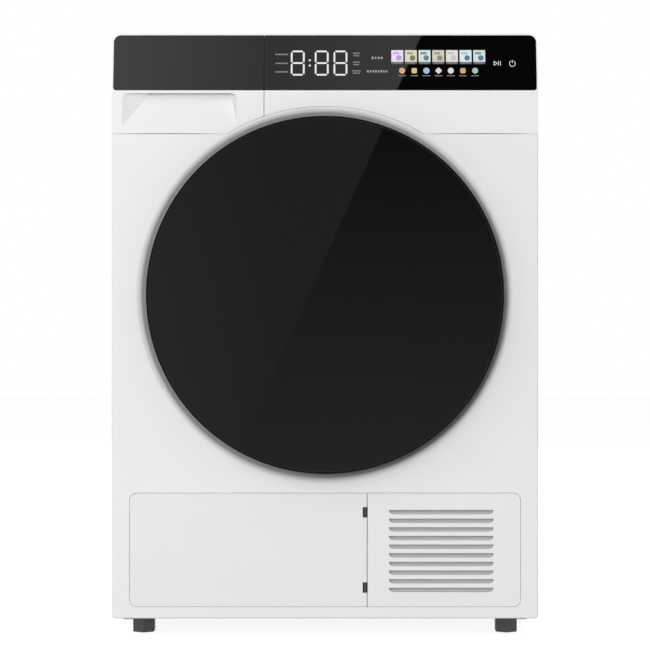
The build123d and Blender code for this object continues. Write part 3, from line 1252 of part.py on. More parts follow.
# Drive: motor on its cradle, rotor with the belt pulley, fan wheel in its housing
MOTOR_Y1 = MOTOR_Y0 + MOTOR_LENGTH
MOTOR_BELL = 8.0
CRADLE_T = 6.0
FAN_Y0 = MOTOR_Y1 + 3 * FAN_GAP / 2
FAN_Y1 = FAN_Y0 + FAN_W
FAN_HUB_R = 11.0
FAN_INNER_R = FAN_R - FAN_BLADE_DEPTH
HOUSING_Y0 = FAN_Y0 - FAN_GAP / 2
HOUSING_Y1 = REAR_Y - SHEET
with BuildPart() as motor:
    with BuildSketch(facing_front(MOTOR_Y1 - MOTOR_BELL)):
        with Locations(MOTOR_PLACE):
            Circle(MOTOR_R)
    extrude(amount=MOTOR_LENGTH - 2 * MOTOR_BELL)
    with BuildSketch(facing_front(MOTOR_Y1)):
        with Locations(MOTOR_PLACE):
            Circle(MOTOR_R - MOTOR_BELL)
    extrude(amount=MOTOR_LENGTH)
    for y in (MOTOR_Y0 + MOTOR_BELL, MOTOR_Y1 - MOTOR_BELL - CRADLE_T):
        with BuildSketch(facing_front(y + CRADLE_T)):
            with Locations((MOTOR_X, (BASE_TOP + MOTOR_Z) / 2)):
                Rectangle(2 * (MOTOR_R - MOTOR_BELL), MOTOR_Z - BASE_TOP)
        extrude(amount=CRADLE_T)
    with BuildSketch(facing_front(MOTOR_Y1)):
        with Locations(MOTOR_PLACE):
            Circle(ROTOR_R + RUN_FIT)
    extrude(amount=MOTOR_LENGTH, mode=Mode.SUBTRACT)

with BuildPart() as rotor_shaft:
    with BuildSketch(facing_front(FAN_Y1)):
        with Locations(MOTOR_PLACE):
            Circle(ROTOR_R)
    extrude(amount=FAN_Y1 - BELT_Y + PULLEY_W / 2)
    with BuildSketch(facing_front(BELT_Y + PULLEY_W / 2)):
        with Locations(MOTOR_PLACE):
            Circle(PULLEY_R)
    extrude(amount=PULLEY_W)

with BuildPart() as fan_wheel:
    with BuildSketch(facing_front(FAN_Y1)):
        with Locations(MOTOR_PLACE):
            Circle(FAN_R)
    extrude(amount=WALL)
    with BuildSketch(facing_front(FAN_Y1)):
        with Locations(MOTOR_PLACE):
            Circle(FAN_HUB_R)
    extrude(amount=FAN_W / 2)
    with BuildSketch(facing_front(FAN_Y1)):
        with Locations(MOTOR_PLACE):
            with PolarLocations((FAN_R + FAN_INNER_R) / 2, FAN_BLADES):
                Rectangle(FAN_R - FAN_INNER_R, WALL)
    extrude(amount=FAN_W)
    with BuildSketch(facing_front(FAN_Y0 + WALL)):
        with Locations(MOTOR_PLACE):
            Circle(FAN_R)
            Circle(FAN_INNER_R, mode=Mode.SUBTRACT)
    extrude(amount=WALL)
    with BuildSketch(facing_front(FAN_Y1)):
        with Locations(MOTOR_PLACE):
            Circle(ROTOR_R)
    extrude(amount=FAN_W, mode=Mode.SUBTRACT)

with BuildPart() as fan_housing:
    with BuildSketch(facing_front(HOUSING_Y1)):
        with Locations(MOTOR_PLACE):
            Circle(HOUSING_R + WALL)
        with Locations((MOTOR_X, (BASE_TOP + MOTOR_Z) / 2)):
            Rectangle(2 * FAN_INNER_R, MOTOR_Z - BASE_TOP)
    extrude(amount=HOUSING_Y1 - HOUSING_Y0)
    with BuildSketch(facing_front(HOUSING_Y1)):
        with Locations(MOTOR_PLACE):
            Circle(HOUSING_R)
    extrude(amount=HOUSING_Y1 - HOUSING_Y0 - WALL, mode=Mode.SUBTRACT)
    with BuildSketch(facing_front(HOUSING_Y0 + WALL)):
        with Locations(MOTOR_PLACE):
            Circle(FAN_INNER_R)
    extrude(amount=WALL, mode=Mode.SUBTRACT)


def belt_span(start, start_r, start_side, end, end_r, end_side):
    """Straight run of a belt from one circle to the next, as its two ends.

    A circle's side is 1 where it lies to the left of the run and -1 where it lies to the right.
    """
    away = (end[0] - start[0], end[1] - start[1])
    lean = acos((end_side * end_r - start_side * start_r) / hypot(*away))
    normal = atan2(away[1], away[0]) + lean
    reach = (cos(normal), sin(normal))
    first = (start[0] - start_side * start_r * reach[0], start[1] - start_side * start_r * reach[1])
    last = (end[0] - end_side * end_r * reach[0], end[1] - end_side * end_r * reach[1])
    return first, last


DRUM_PLACE = (0, DOOR_Z)
free_start, free_end = belt_span(DRUM_PLACE, DRUM_R, 1, MOTOR_PLACE, PULLEY_R, 1)
free_length = hypot(free_end[0] - free_start[0], free_end[1] - free_start[1])
free_run = ((free_end[0] - free_start[0]) / free_length, (free_end[1] - free_start[1]) / free_length)
IDLER_PLACE = (
    free_start[0] + free_run[0] * free_length * IDLER_SPAN + free_run[1] * (IDLER_R - IDLER_PUSH),
    free_start[1] + free_run[1] * free_length * IDLER_SPAN - free_run[0] * (IDLER_R - IDLER_PUSH),
)


def belt_loop(lift):
    """The belt's outline at a height over the drum and pulley, with the idler pressing from outside."""
    wheels = [
        (DRUM_PLACE, DRUM_R + lift, 1),
        (IDLER_PLACE, IDLER_R + 2 * CLEAR + BELT_T - lift, -1),
        (MOTOR_PLACE, PULLEY_R + lift, 1),
    ]
    spans = [belt_span(*wheels[i], *wheels[(i + 1) % 3]) for i in range(3)]
    with BuildSketch(facing_front(BELT_Y + BELT_W / 2)) as loop:
        with BuildLine():
            for i in range(3):
                middle, radius, side = wheels[i]
                arrive = spans[i - 1][1]
                leave = spans[i][0]
                begin = atan2(arrive[1] - middle[1], arrive[0] - middle[0])
                sweep_angle = (side * (atan2(leave[1] - middle[1], leave[0] - middle[0]) - begin)) % (2 * pi)
                half_way = begin + side * sweep_angle / 2
                top = (middle[0] + radius * cos(half_way), middle[1] + radius * sin(half_way))
                ThreePointArc(arrive, top, leave)
                Line(leave, spans[i][1])
        make_face()
    return loop.sketch


with BuildPart() as drive_belt:
    extrude(belt_loop(CLEAR + BELT_T), amount=BELT_W)
    extrude(belt_loop(CLEAR), amount=BELT_W, mode=Mode.SUBTRACT)

# Belt idler: arm on the pivot of the base, and its pulley
with BuildPart() as idler_arm:
    with BuildSketch(facing_front(IDLER_ARM_Y0 + IDLER_ARM_T)):
        with Locations(IDLER_PIVOT):
            Circle(IDLER_ARM_W / 2)
        with Locations(IDLER_PLACE):
            Circle(IDLER_ARM_W / 3)
        make_hull()
        with Locations(IDLER_PIVOT):
            Circle(IDLER_PIN_R + RUN_FIT, mode=Mode.SUBTRACT)
    extrude(amount=IDLER_ARM_T)
    with BuildSketch(facing_front(IDLER_ARM_Y0)):
        with Locations(IDLER_PLACE):
            Circle(IDLER_AXLE_R)
    extrude(amount=IDLER_ARM_Y0 - BELT_Y + IDLER_W / 2)

with BuildPart() as idler_pulley:
    with BuildSketch(facing_front(BELT_Y + IDLER_W / 2)):
        with Locations(IDLER_PLACE):
            Circle(IDLER_R)
            Circle(IDLER_AXLE_R + RUN_FIT, mode=Mode.SUBTRACT)
    extrude(amount=IDLER_W)

# Heat pump: two finned exchangers under a cover, their filter, the compressor and its pipes
EXCHANGER_W = EXCHANGER_X1 - EXCHANGER_X0
EXCHANGER_X = (EXCHANGER_X0 + EXCHANGER_X1) / 2
EXCHANGER_Z1 = BAY_Z - WALL
EXCHANGER_H = EXCHANGER_Z1 - BASE_TOP
EXCHANGER_Z = BASE_TOP + EXCHANGER_H / 2
EVAPORATOR_Y0 = FRONT_Y + EXCHANGER_FRONT
EVAPORATOR_Y1 = EVAPORATOR_Y0 + EVAPORATOR_D
CONDENSER_Y0 = EVAPORATOR_Y1 + EXCHANGER_GAP
CONDENSER_Y1 = CONDENSER_Y0 + CONDENSER_D
FIN_RAIL = 8.0
FIN_PITCH = EXCHANGER_W / (FIN_COUNT + 1)
FIN_SLOT = FIN_PITCH * 0.7
FILTER_T = 16.0
FILTER_RIM = 7.0
FOAM_T = 10.0


def exchanger(y_front, y_back):
    """A block of fins with the air passing front to back."""
    with BuildPart() as block:
        with BuildSketch(facing_front(y_back)):
            with Locations((EXCHANGER_X, EXCHANGER_Z)):
                Rectangle(EXCHANGER_W, EXCHANGER_H)
                with GridLocations(FIN_PITCH, 1, FIN_COUNT, 1):
                    Rectangle(FIN_SLOT, EXCHANGER_H - 2 * FIN_RAIL, mode=Mode.SUBTRACT)
        extrude(amount=y_back - y_front)
    return block


evaporator = exchanger(EVAPORATOR_Y0, EVAPORATOR_Y1)
condenser = exchanger(CONDENSER_Y0, CONDENSER_Y1)

COVER_Y0 = EVAPORATOR_Y0 - FILTER_T - CLEAR
with BuildPart() as exchanger_cover:
    with BuildSketch(facing_front(CONDENSER_Y1)):
        with Locations((EXCHANGER_X, (BASE_TOP + BAY_Z) / 2)):
            Rectangle(EXCHANGER_W + 2 * WALL, BAY_Z - BASE_TOP)
        with Locations((EXCHANGER_X, EXCHANGER_Z)):
            Rectangle(EXCHANGER_W, EXCHANGER_H, mode=Mode.SUBTRACT)
    extrude(amount=CONDENSER_Y1 - COVER_Y0)

with BuildPart() as exchanger_filter:
    with BuildSketch(facing_front(EVAPORATOR_Y0 - CLEAR)):
        with Locations((EXCHANGER_X, EXCHANGER_Z)):
            Rectangle(EXCHANGER_W - 2 * CLEAR, EXCHANGER_H)
    extrude(amount=FILTER_T)
    with BuildSketch(facing_front(EVAPORATOR_Y0 - CLEAR - FOAM_T)):
        with Locations((EXCHANGER_X, EXCHANGER_Z)):
            Rectangle(EXCHANGER_W - 2 * FILTER_RIM, EXCHANGER_H - 2 * FILTER_RIM)
            Rectangle(FILTER_RIM, EXCHANGER_H, mode=Mode.SUBTRACT)
    extrude(amount=FILTER_T - FOAM_T, mode=Mode.SUBTRACT)

MOUNT_H = 12.0
MOUNT_R = 9.0
PLATE_T = 3.0
DOME_R = 24.0
COMPRESSOR_Z0 = BASE_TOP + MOUNT_H + PLATE_T
COMPRESSOR_PLACE = (COMPRESSOR_X, COMPRESSOR_Y)
MOUNT_PLACES = [
    (
        COMPRESSOR_X + COMPRESSOR_R * cos(radians(a)),
        COMPRESSOR_Y + COMPRESSOR_R * sin(radians(a)),
    )
    for a in (90, 210, 330)
]
with BuildPart() as compressor:
    with BuildSketch(Plane.XY.offset(COMPRESSOR_Z0)):
        with Locations(COMPRESSOR_PLACE):
            Circle(COMPRESSOR_R)
    extrude(amount=EXCHANGER_Z1 - COMPRESSOR_Z0)
    fillet(compressor.faces().sort_by(Axis.Z)[-1].edges(), DOME_R)
    with BuildSketch(Plane.XY.offset(COMPRESSOR_Z0 - PLATE_T)):
        with Locations(*MOUNT_PLACES):
            Circle(MOUNT_R + PLATE_T)
        make_hull()
    extrude(amount=PLATE_T)
    with BuildSketch(Plane.XY.offset(BASE_TOP)):
        with Locations(*MOUNT_PLACES):
            Circle(MOUNT_R)
    extrude(amount=MOUNT_H)

PIPE_R = 4.0
PIPE_BEND = 14.0
PIPE_X0 = COMPRESSOR_X - COMPRESSOR_R
PIPE_X1 = EXCHANGER_X1 + WALL
PIPE_Z = EXCHANGER_Z
PIPE_RISE = 22.0


def pipe_route(y_end, z):
    """Middle line of a refrigerant pipe from the compressor's side to the exchanger cover."""
    x_turn = (PIPE_X0 + PIPE_X1) / 2
    return [
        (PIPE_X0, COMPRESSOR_Y, z),
        (x_turn, COMPRESSOR_Y, z),
        (x_turn, y_end, z),
        (PIPE_X1, y_end, z),
    ]


with BuildPart() as refrigerant_pipes:
    for y_end, z in (
        ((EVAPORATOR_Y0 + EVAPORATOR_Y1) / 2 + 3 * PIPE_BEND, PIPE_Z - PIPE_RISE),
        ((CONDENSER_Y0 + CONDENSER_Y1) / 2, PIPE_Z + PIPE_RISE),
    ):
        with BuildLine() as route:
            FilletPolyline(*pipe_route(y_end, z), radius=PIPE_BEND)
        with BuildSketch(Plane(origin=route.line @ 0, z_dir=route.line % 0)):
            Circle(PIPE_R)
        sweep()

# Condensate pump in the base, and its hose up the rear corner to the tank tray
PUMP_H = 44.0
PUMP_CAN = 40.0
PUMP_CAN_H = 34.0
PUMP_Z = BASE_TOP + PUMP_H + PUMP_CAN_H / 2
with BuildPart() as condensate_pump:
    with BuildSketch(Plane.XY.offset(BASE_TOP)):
        with Locations((PUMP_X, PUMP_Y)):
            RectangleRounded(PUMP_SIZE, PUMP_SIZE, 3 * WALL)
    extrude(amount=PUMP_H)
    with BuildSketch(Plane.XY.offset(BASE_TOP + PUMP_H)):
        with Locations((PUMP_X, PUMP_Y)):
            RectangleRounded(PUMP_CAN, PUMP_CAN, 3 * WALL)
    extrude(amount=PUMP_CAN_H)

with BuildPart() as condensate_hose:
    with BuildLine() as hose_route:
        FilletPolyline(
            (PUMP_X, PUMP_Y + PUMP_CAN / 2, PUMP_Z),
            (PUMP_X, HOSE_Y, PUMP_Z),
            (HOSE_X, HOSE_Y, PUMP_Z),
            (HOSE_X, HOSE_Y, NOZZLE_Z),
            (HOSE_X, TRAY_REAR, NOZZLE_Z),
            radius=HOSE_BEND,
        )
    with BuildSketch(Plane(origin=hose_route.line @ 0, z_dir=hose_route.line % 0)):
        Circle(HOSE_R)
        Circle(HOSE_BORE_R, mode=Mode.SUBTRACT)
    sweep()

# Rear: sheet with its openings, air duct cover, gland and screws
AIR_HOLE_R = 30.0
AIR_RING_R = 150.0
AIR_HOLES = 8
VENT_W = 60.0
VENT_H = 5.0
VENT_PITCH = 13.0
VENT_COUNT = 5
VENT_Z = DOOR_Z + RING_R
DUCT_R = 205.0
DUCT_FOOT_W = 150.0
DUCT_FLANGE = 9.0
DUCT_FLANGE_T = 2.0
DUCT_EDGE_R = 8.0
with BuildPart() as rear_panel:
    with BuildSketch(facing_front(REAR_Y)):
        with Locations((0, (BASE_Z + TOP_Z) / 2)):
            Rectangle(WIDTH, TOP_Z - BASE_Z)
        with Locations(DRUM_PLACE):
            Circle(BUSH_R, mode=Mode.SUBTRACT)
            with PolarLocations(AIR_RING_R, AIR_HOLES):
                Circle(AIR_HOLE_R, mode=Mode.SUBTRACT)
        with Locations(MOTOR_PLACE):
            Circle(FAN_R - FAN_GAP, mode=Mode.SUBTRACT)
        for x in (-HALF_W / 2, HALF_W / 2):
            with Locations((x, VENT_Z)):
                with GridLocations(1, VENT_PITCH, 1, VENT_COUNT):
                    SlotOverall(VENT_W, VENT_H, mode=Mode.SUBTRACT)
        with Locations((GLAND_X, GLAND_Z)):
            Circle(GLAND_R, mode=Mode.SUBTRACT)
    extrude(amount=SHEET)


def duct_outline(y, grow):
    """Rear outline of the air duct: round over the drum, running down to the fan."""
    with BuildSketch(facing_front(y)) as outline:
        with Locations(DRUM_PLACE):
            Circle(DUCT_R + grow)
        with Locations(MOTOR_PLACE):
            Rectangle(DUCT_FOOT_W + 2 * grow, 2 * FAN_R + 2 * grow)
        make_hull()
    return outline.sketch


DUCT_Y1 = REAR_Y + REAR_COVER_DEPTH
with BuildPart() as rear_duct_cover:
    extrude(duct_outline(DUCT_Y1, 0), amount=REAR_COVER_DEPTH)
    fillet(rear_duct_cover.faces().sort_by(Axis.Y)[-1].edges(), DUCT_EDGE_R)
    extrude(duct_outline(REAR_Y + DUCT_FLANGE_T, DUCT_FLANGE), amount=DUCT_FLANGE_T)
    extrude(duct_outline(DUCT_Y1 - WALL, -WALL), amount=REAR_COVER_DEPTH - WALL, mode=Mode.SUBTRACT)

with BuildPart() as cord_gland:
    with BuildSketch(facing_front(REAR_Y + 2 * WALL)):
        with Locations((GLAND_X, GLAND_Z)):
            Circle(GLAND_R + WALL)
    extrude(amount=2 * WALL)
    with BuildSketch(facing_front(REAR_Y)):
        with Locations((GLAND_X, GLAND_Z)):
            Circle(GLAND_R)
    extrude(amount=SHEET + WALL)
    with BuildSketch(facing_front(REAR_Y + 2 * WALL)):
        with Locations((GLAND_X, GLAND_Z)):
            Circle(GLAND_R - 2 * WALL)
    extrude(amount=SHEET + 3 * WALL, mode=Mode.SUBTRACT)

SCREW_ROWS = 5
SCREW_END = 30.0
SCREW_PITCH = (TOP_Z - BASE_Z - 2 * SCREW_END) / (SCREW_ROWS - 1)
with BuildPart() as rear_screws:
    with BuildSketch(facing_front(REAR_Y + SCREW_HEAD)):
        with Locations((0, (BASE_Z + TOP_Z) / 2)):
            with GridLocations(WIDTH - FLANGE_W, SCREW_PITCH, 2, SCREW_ROWS):
                Circle(SCREW_R)
    extrude(amount=SCREW_HEAD)

# One STEP file for each piece
PIECES = {
    "front_panel": front_panel,
    "control_fascia": control_fascia,
    "control_glass": control_glass,
    "control_board": control_board,
    "drawer_front": drawer_front,
    "drawer_glass": drawer_glass,
    "water_tank": water_tank,
    "tank_tray": tank_tray,
    "side_panel_left": side_panel_left,
    "side_panel_right": side_panel_right,
    "top_panel": top_panel,
    "base_tray": base_tray,
    "foot_front_left": foot_front_left,
    "foot_front_right": foot_front_right,
    "foot_rear_left": foot_rear_left,
    "foot_rear_right": foot_rear_right,
    "door_glass": door_glass,
    "door_frame": door_frame,
    "door_liner": door_liner,
    "door_window": door_window,
    "hinge_bracket": hinge_bracket,
    "hinge_pin": hinge_pin,
    "hinge_leaf": hinge_leaf,
    "door_hook": door_hook,
    "door_lock": door_lock,
    "door_seal": door_seal,
    "filter_flap": filter_flap,
    "flap_hinge_pins": flap_hinge_pins,
    "air_grille": air_grille,
    "front_bulkhead": front_bulkhead,
    "lint_filter": lint_filter,
    "lint_mesh": lint_mesh,
    "drum": drum,
    "drum_lifters": drum_lifters,
    "drum_felt": drum_felt,
    "drum_shaft": drum_shaft,
    "rear_bush": rear_bush,
    "bearing_bracket": bearing_bracket,
    "support_roller_left": support_roller_left,
    "support_roller_right": support_roller_right,
    "roller_axles": roller_axles,
    "motor": motor,
    "rotor_shaft": rotor_shaft,
    "fan_wheel": fan_wheel,
    "fan_housing": fan_housing,
    "drive_belt": drive_belt,
    "idler_arm": idler_arm,
    "idler_pulley": idler_pulley,
    "evaporator": evaporator,
    "condenser": condenser,
    "exchanger_cover": exchanger_cover,
    "exchanger_filter": exchanger_filter,
    "compressor": compressor,
    "refrigerant_pipes": refrigerant_pipes,
    "condensate_pump": condensate_pump,
    "condensate_hose": condensate_hose,
    "rear_panel": rear_panel,
    "rear_duct_cover": rear_duct_cover,
    "cord_gland": cord_gland,
    "rear_screws": rear_screws,
}
os.makedirs("parts", exist_ok=True)
for label, piece in PIECES.items():
    piece.part.label = label
    export_step(piece.part, f"parts/{label}.step")
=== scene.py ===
"""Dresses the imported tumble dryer: finishes of every node, printed marks, studio and camera.

Lengths are metres in the CAD frame: Z up, the front faces -Y, the floor is z = 0.
"""
import logging
import math
from dataclasses import dataclass, field
from enum import Enum
from typing import ClassVar

import bpy
import numpy as np
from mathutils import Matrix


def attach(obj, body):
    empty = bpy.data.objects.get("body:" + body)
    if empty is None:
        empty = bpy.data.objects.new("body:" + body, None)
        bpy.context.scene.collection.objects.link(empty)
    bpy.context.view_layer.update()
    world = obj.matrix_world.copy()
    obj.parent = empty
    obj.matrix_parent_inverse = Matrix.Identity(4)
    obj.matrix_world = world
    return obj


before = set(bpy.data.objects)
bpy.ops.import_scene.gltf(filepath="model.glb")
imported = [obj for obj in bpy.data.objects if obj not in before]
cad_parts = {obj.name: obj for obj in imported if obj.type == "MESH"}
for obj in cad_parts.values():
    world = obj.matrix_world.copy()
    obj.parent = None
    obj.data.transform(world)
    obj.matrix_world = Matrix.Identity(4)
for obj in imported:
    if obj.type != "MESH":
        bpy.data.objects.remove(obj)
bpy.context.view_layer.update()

LOG = logging.getLogger("dryer")
MM = 0.001

Colour = tuple[float, float, float]
Vector = tuple[float, float, float]
Pair = tuple[float, float]


class Pattern(Enum):
    """The shared surface effects a finish can use."""

    SKIN = "drifting tone with fine pores"
    DRAWN = "lines drawn along one direction"
    WOVEN = "crossed threads"
    # painted shade: the tone darkens behind a front plane, standing in for the shade inside
    # recesses
    SHADED = "tone that changes behind a front plane, with fine pores"


@dataclass(frozen=True)
class Finish:
    """One surface finish: values for a Principled surface and a pattern on Object coordinates."""

    name: str
    tone_a: Colour
    tone_b: Colour
    pattern: Pattern = Pattern.SKIN
    rough: Pair = (0.35, 0.45)  # where the grain is lowest and highest
    drift: float = 7.0  # tone patches per metre
    grain: float = 900.0  # pores, lines or threads per metre
    stretch: Vector = (1.0, 1.0, 1.0)  # squeezes the grain along each axis
    bump: float = 0.05
    depth: float = 0.0001  # bump height, metres
    metallic: float = 0.0
    specular: float = 0.5
    coat: float = 0.0
    transmission: float = 0.0
    ior: float = 1.5
    sheen: float = 0.0
    glow: float = 0.0  # emission strength of lit print
    # the painted shade runs between these two y values
    shade: Pair = (0.0, 0.0)  # y where a SHADED tone starts to change and where it ends


WHITE_ENAMEL = Finish(
    "white_enamel", (0.80, 0.80, 0.80), (0.82, 0.82, 0.818), rough=(0.30, 0.36), grain=700.0,
    bump=0.03, coat=0.15,
)
WHITE_MOULDING = Finish(
    "white_moulding", (0.81, 0.81, 0.81), (0.83, 0.83, 0.828), rough=(0.32, 0.40), grain=1600.0,
    bump=0.03,
)
# painted shade: the white moulding made a little darker for the filter flap, standing in for the
# shade low on the front
FLAP_PAINTED_SHADE = Finish(
    "flap_painted_shade", (0.78, 0.78, 0.78), (0.80, 0.80, 0.798), rough=(0.32, 0.40), grain=1600.0,
    bump=0.03,
)
# painted shade: the grille's white turns grey inside its louvre slots, behind the front, standing
# in for the shade there
GRILLE_PAINTED_SHADE = Finish(
    "grille_painted_shade", (0.80, 0.80, 0.80), (0.61, 0.61, 0.612), Pattern.SHADED, rough=(0.32, 0.40),
    grain=1600.0, bump=0.03, shade=(-0.2797, -0.2755),
)
BLACK_STRIP = Finish(
    "black_strip_glass", (0.0010, 0.0010, 0.0011), (0.0014, 0.0014, 0.0015), rough=(0.008, 0.014),
    bump=0.0, drift=4.0,
)
BLACK_PANE = Finish(
    "black_door_glass", (0.0035, 0.0035, 0.0036), (0.0045, 0.0045, 0.0046), rough=(0.01, 0.016),
    bump=0.0, drift=4.0,
)
CLEAR_GLASS = Finish(
    "window_glass", (0.86, 0.90, 0.90), (0.90, 0.93, 0.93), rough=(0.02, 0.05), bump=0.01,
    transmission=1.0, ior=1.47,
)
BLACK_MOULDING = Finish(
    "black_moulding", (0.0015, 0.0015, 0.0016), (0.003, 0.003, 0.0031), rough=(0.4, 0.52),
    grain=1500.0, specular=0.15,
)
GREY_MOULDING = Finish(
    "grey_moulding", (0.36, 0.365, 0.37), (0.42, 0.425, 0.43), rough=(0.42, 0.55), grain=1400.0,
    bump=0.08,
)
DARK_MOULDING = Finish(
    "dark_moulding", (0.045, 0.045, 0.047), (0.06, 0.06, 0.062), rough=(0.5, 0.62), grain=1300.0,
    bump=0.1,
)
FOOT_MOULDING = Finish(
    "foot_moulding", (0.05, 0.05, 0.051), (0.065, 0.065, 0.066), rough=(0.45, 0.6), grain=1300.0,
    bump=0.08,
)
TANK_MOULDING = Finish(
    "milky_moulding", (0.66, 0.70, 0.72), (0.74, 0.78, 0.80), rough=(0.35, 0.5), grain=500.0,
    bump=0.08,
)
SOLDER_MASK = Finish(
    "solder_mask", (0.012, 0.085, 0.035), (0.018, 0.11, 0.045), rough=(0.3, 0.45), grain=1500.0,
)
DRUM_STEEL = Finish(
    "drum_steel", (0.55, 0.555, 0.56), (0.64, 0.64, 0.645), Pattern.DRAWN, rough=(0.24, 0.36),
    grain=1500.0, stretch=(1.0, 0.03, 1.0), bump=0.05, metallic=1.0,
)
TURNED_STEEL = Finish(
    "turned_steel", (0.5, 0.5, 0.51), (0.6, 0.6, 0.61), Pattern.DRAWN, rough=(0.2, 0.32),
    grain=1500.0, stretch=(0.05, 1.0, 0.05), bump=0.05, metallic=1.0,
)
ZINC_SHEET = Finish(
    "zinc_sheet", (0.42, 0.435, 0.445), (0.56, 0.57, 0.58), rough=(0.34, 0.5), drift=55.0,
    grain=260.0, bump=0.05, metallic=0.9,
)
SCREW_STEEL = Finish(
    "screw_steel", (0.6, 0.6, 0.6), (0.72, 0.72, 0.72), rough=(0.2, 0.3), grain=1500.0,
    metallic=1.0,
)
BLACK_RUBBER = Finish(
    "black_rubber", (0.016, 0.016, 0.0165), (0.026, 0.026, 0.0265), rough=(0.6, 0.75), grain=1200.0,
    bump=0.15,
)
SEAL_RUBBER = Finish(
    "seal_rubber", (0.10, 0.10, 0.105), (0.13, 0.13, 0.135), rough=(0.55, 0.7), grain=1200.0,
    bump=0.12,
)
WOOL_FELT = Finish(
    "wool_felt", (0.40, 0.385, 0.34), (0.52, 0.50, 0.45), rough=(0.85, 0.98), grain=900.0, bump=0.5,
    depth=0.0004, sheen=0.4,
)
FILTER_FOAM = Finish(
    "filter_foam", (0.07, 0.075, 0.085), (0.13, 0.14, 0.155), rough=(0.85, 0.98), grain=420.0,
    bump=0.6, depth=0.0006,
)
FILTER_MESH = Finish(
    "filter_mesh", (0.24, 0.25, 0.27), (0.5, 0.52, 0.55), Pattern.WOVEN, rough=(0.6, 0.8),
    grain=900.0, bump=0.4,
)
FIN_ALUMINIUM = Finish(
    "fin_aluminium", (0.62, 0.63, 0.64), (0.72, 0.73, 0.74), Pattern.DRAWN, rough=(0.3, 0.45),
    grain=1200.0, stretch=(1.0, 1.0, 0.05), metallic=1.0,
)
COPPER_PIPE = Finish(
    "copper_pipe", (0.5, 0.24, 0.13), (0.64, 0.34, 0.2), rough=(0.28, 0.45), drift=40.0,
    metallic=1.0,
)
BLACK_PAINT = Finish(
    "black_paint", (0.012, 0.012, 0.013), (0.018, 0.018, 0.019), rough=(0.3, 0.42), grain=600.0,
    bump=0.08,
)
CAST_ALUMINIUM = Finish(
    "cast_aluminium", (0.34, 0.34, 0.345), (0.44, 0.44, 0.445), rough=(0.45, 0.6), grain=600.0,
    bump=0.2, metallic=0.9,
)
BUSH_BRONZE = Finish(
    "bush_bronze", (0.38, 0.26, 0.12), (0.48, 0.34, 0.17), rough=(0.35, 0.5), metallic=1.0,
)
LIT_PRINT = Finish(
    "lit_print", (0.42, 0.425, 0.43), (0.46, 0.465, 0.47), rough=(0.4, 0.5), glow=0.85,
)
SYMBOL_PRINT = Finish(
    "symbol_print", (0.48, 0.485, 0.49), (0.52, 0.525, 0.53), rough=(0.4, 0.5), glow=1.5,
)
DIM_PRINT = Finish(
    "dim_print", (0.15, 0.152, 0.155), (0.18, 0.182, 0.185), rough=(0.4, 0.5), glow=0.85,
)
COLOUR_PRINT = Finish("colour_print", (0.5, 0.5, 0.5), (0.5, 0.5, 0.5), rough=(0.4, 0.5), glow=0.75)


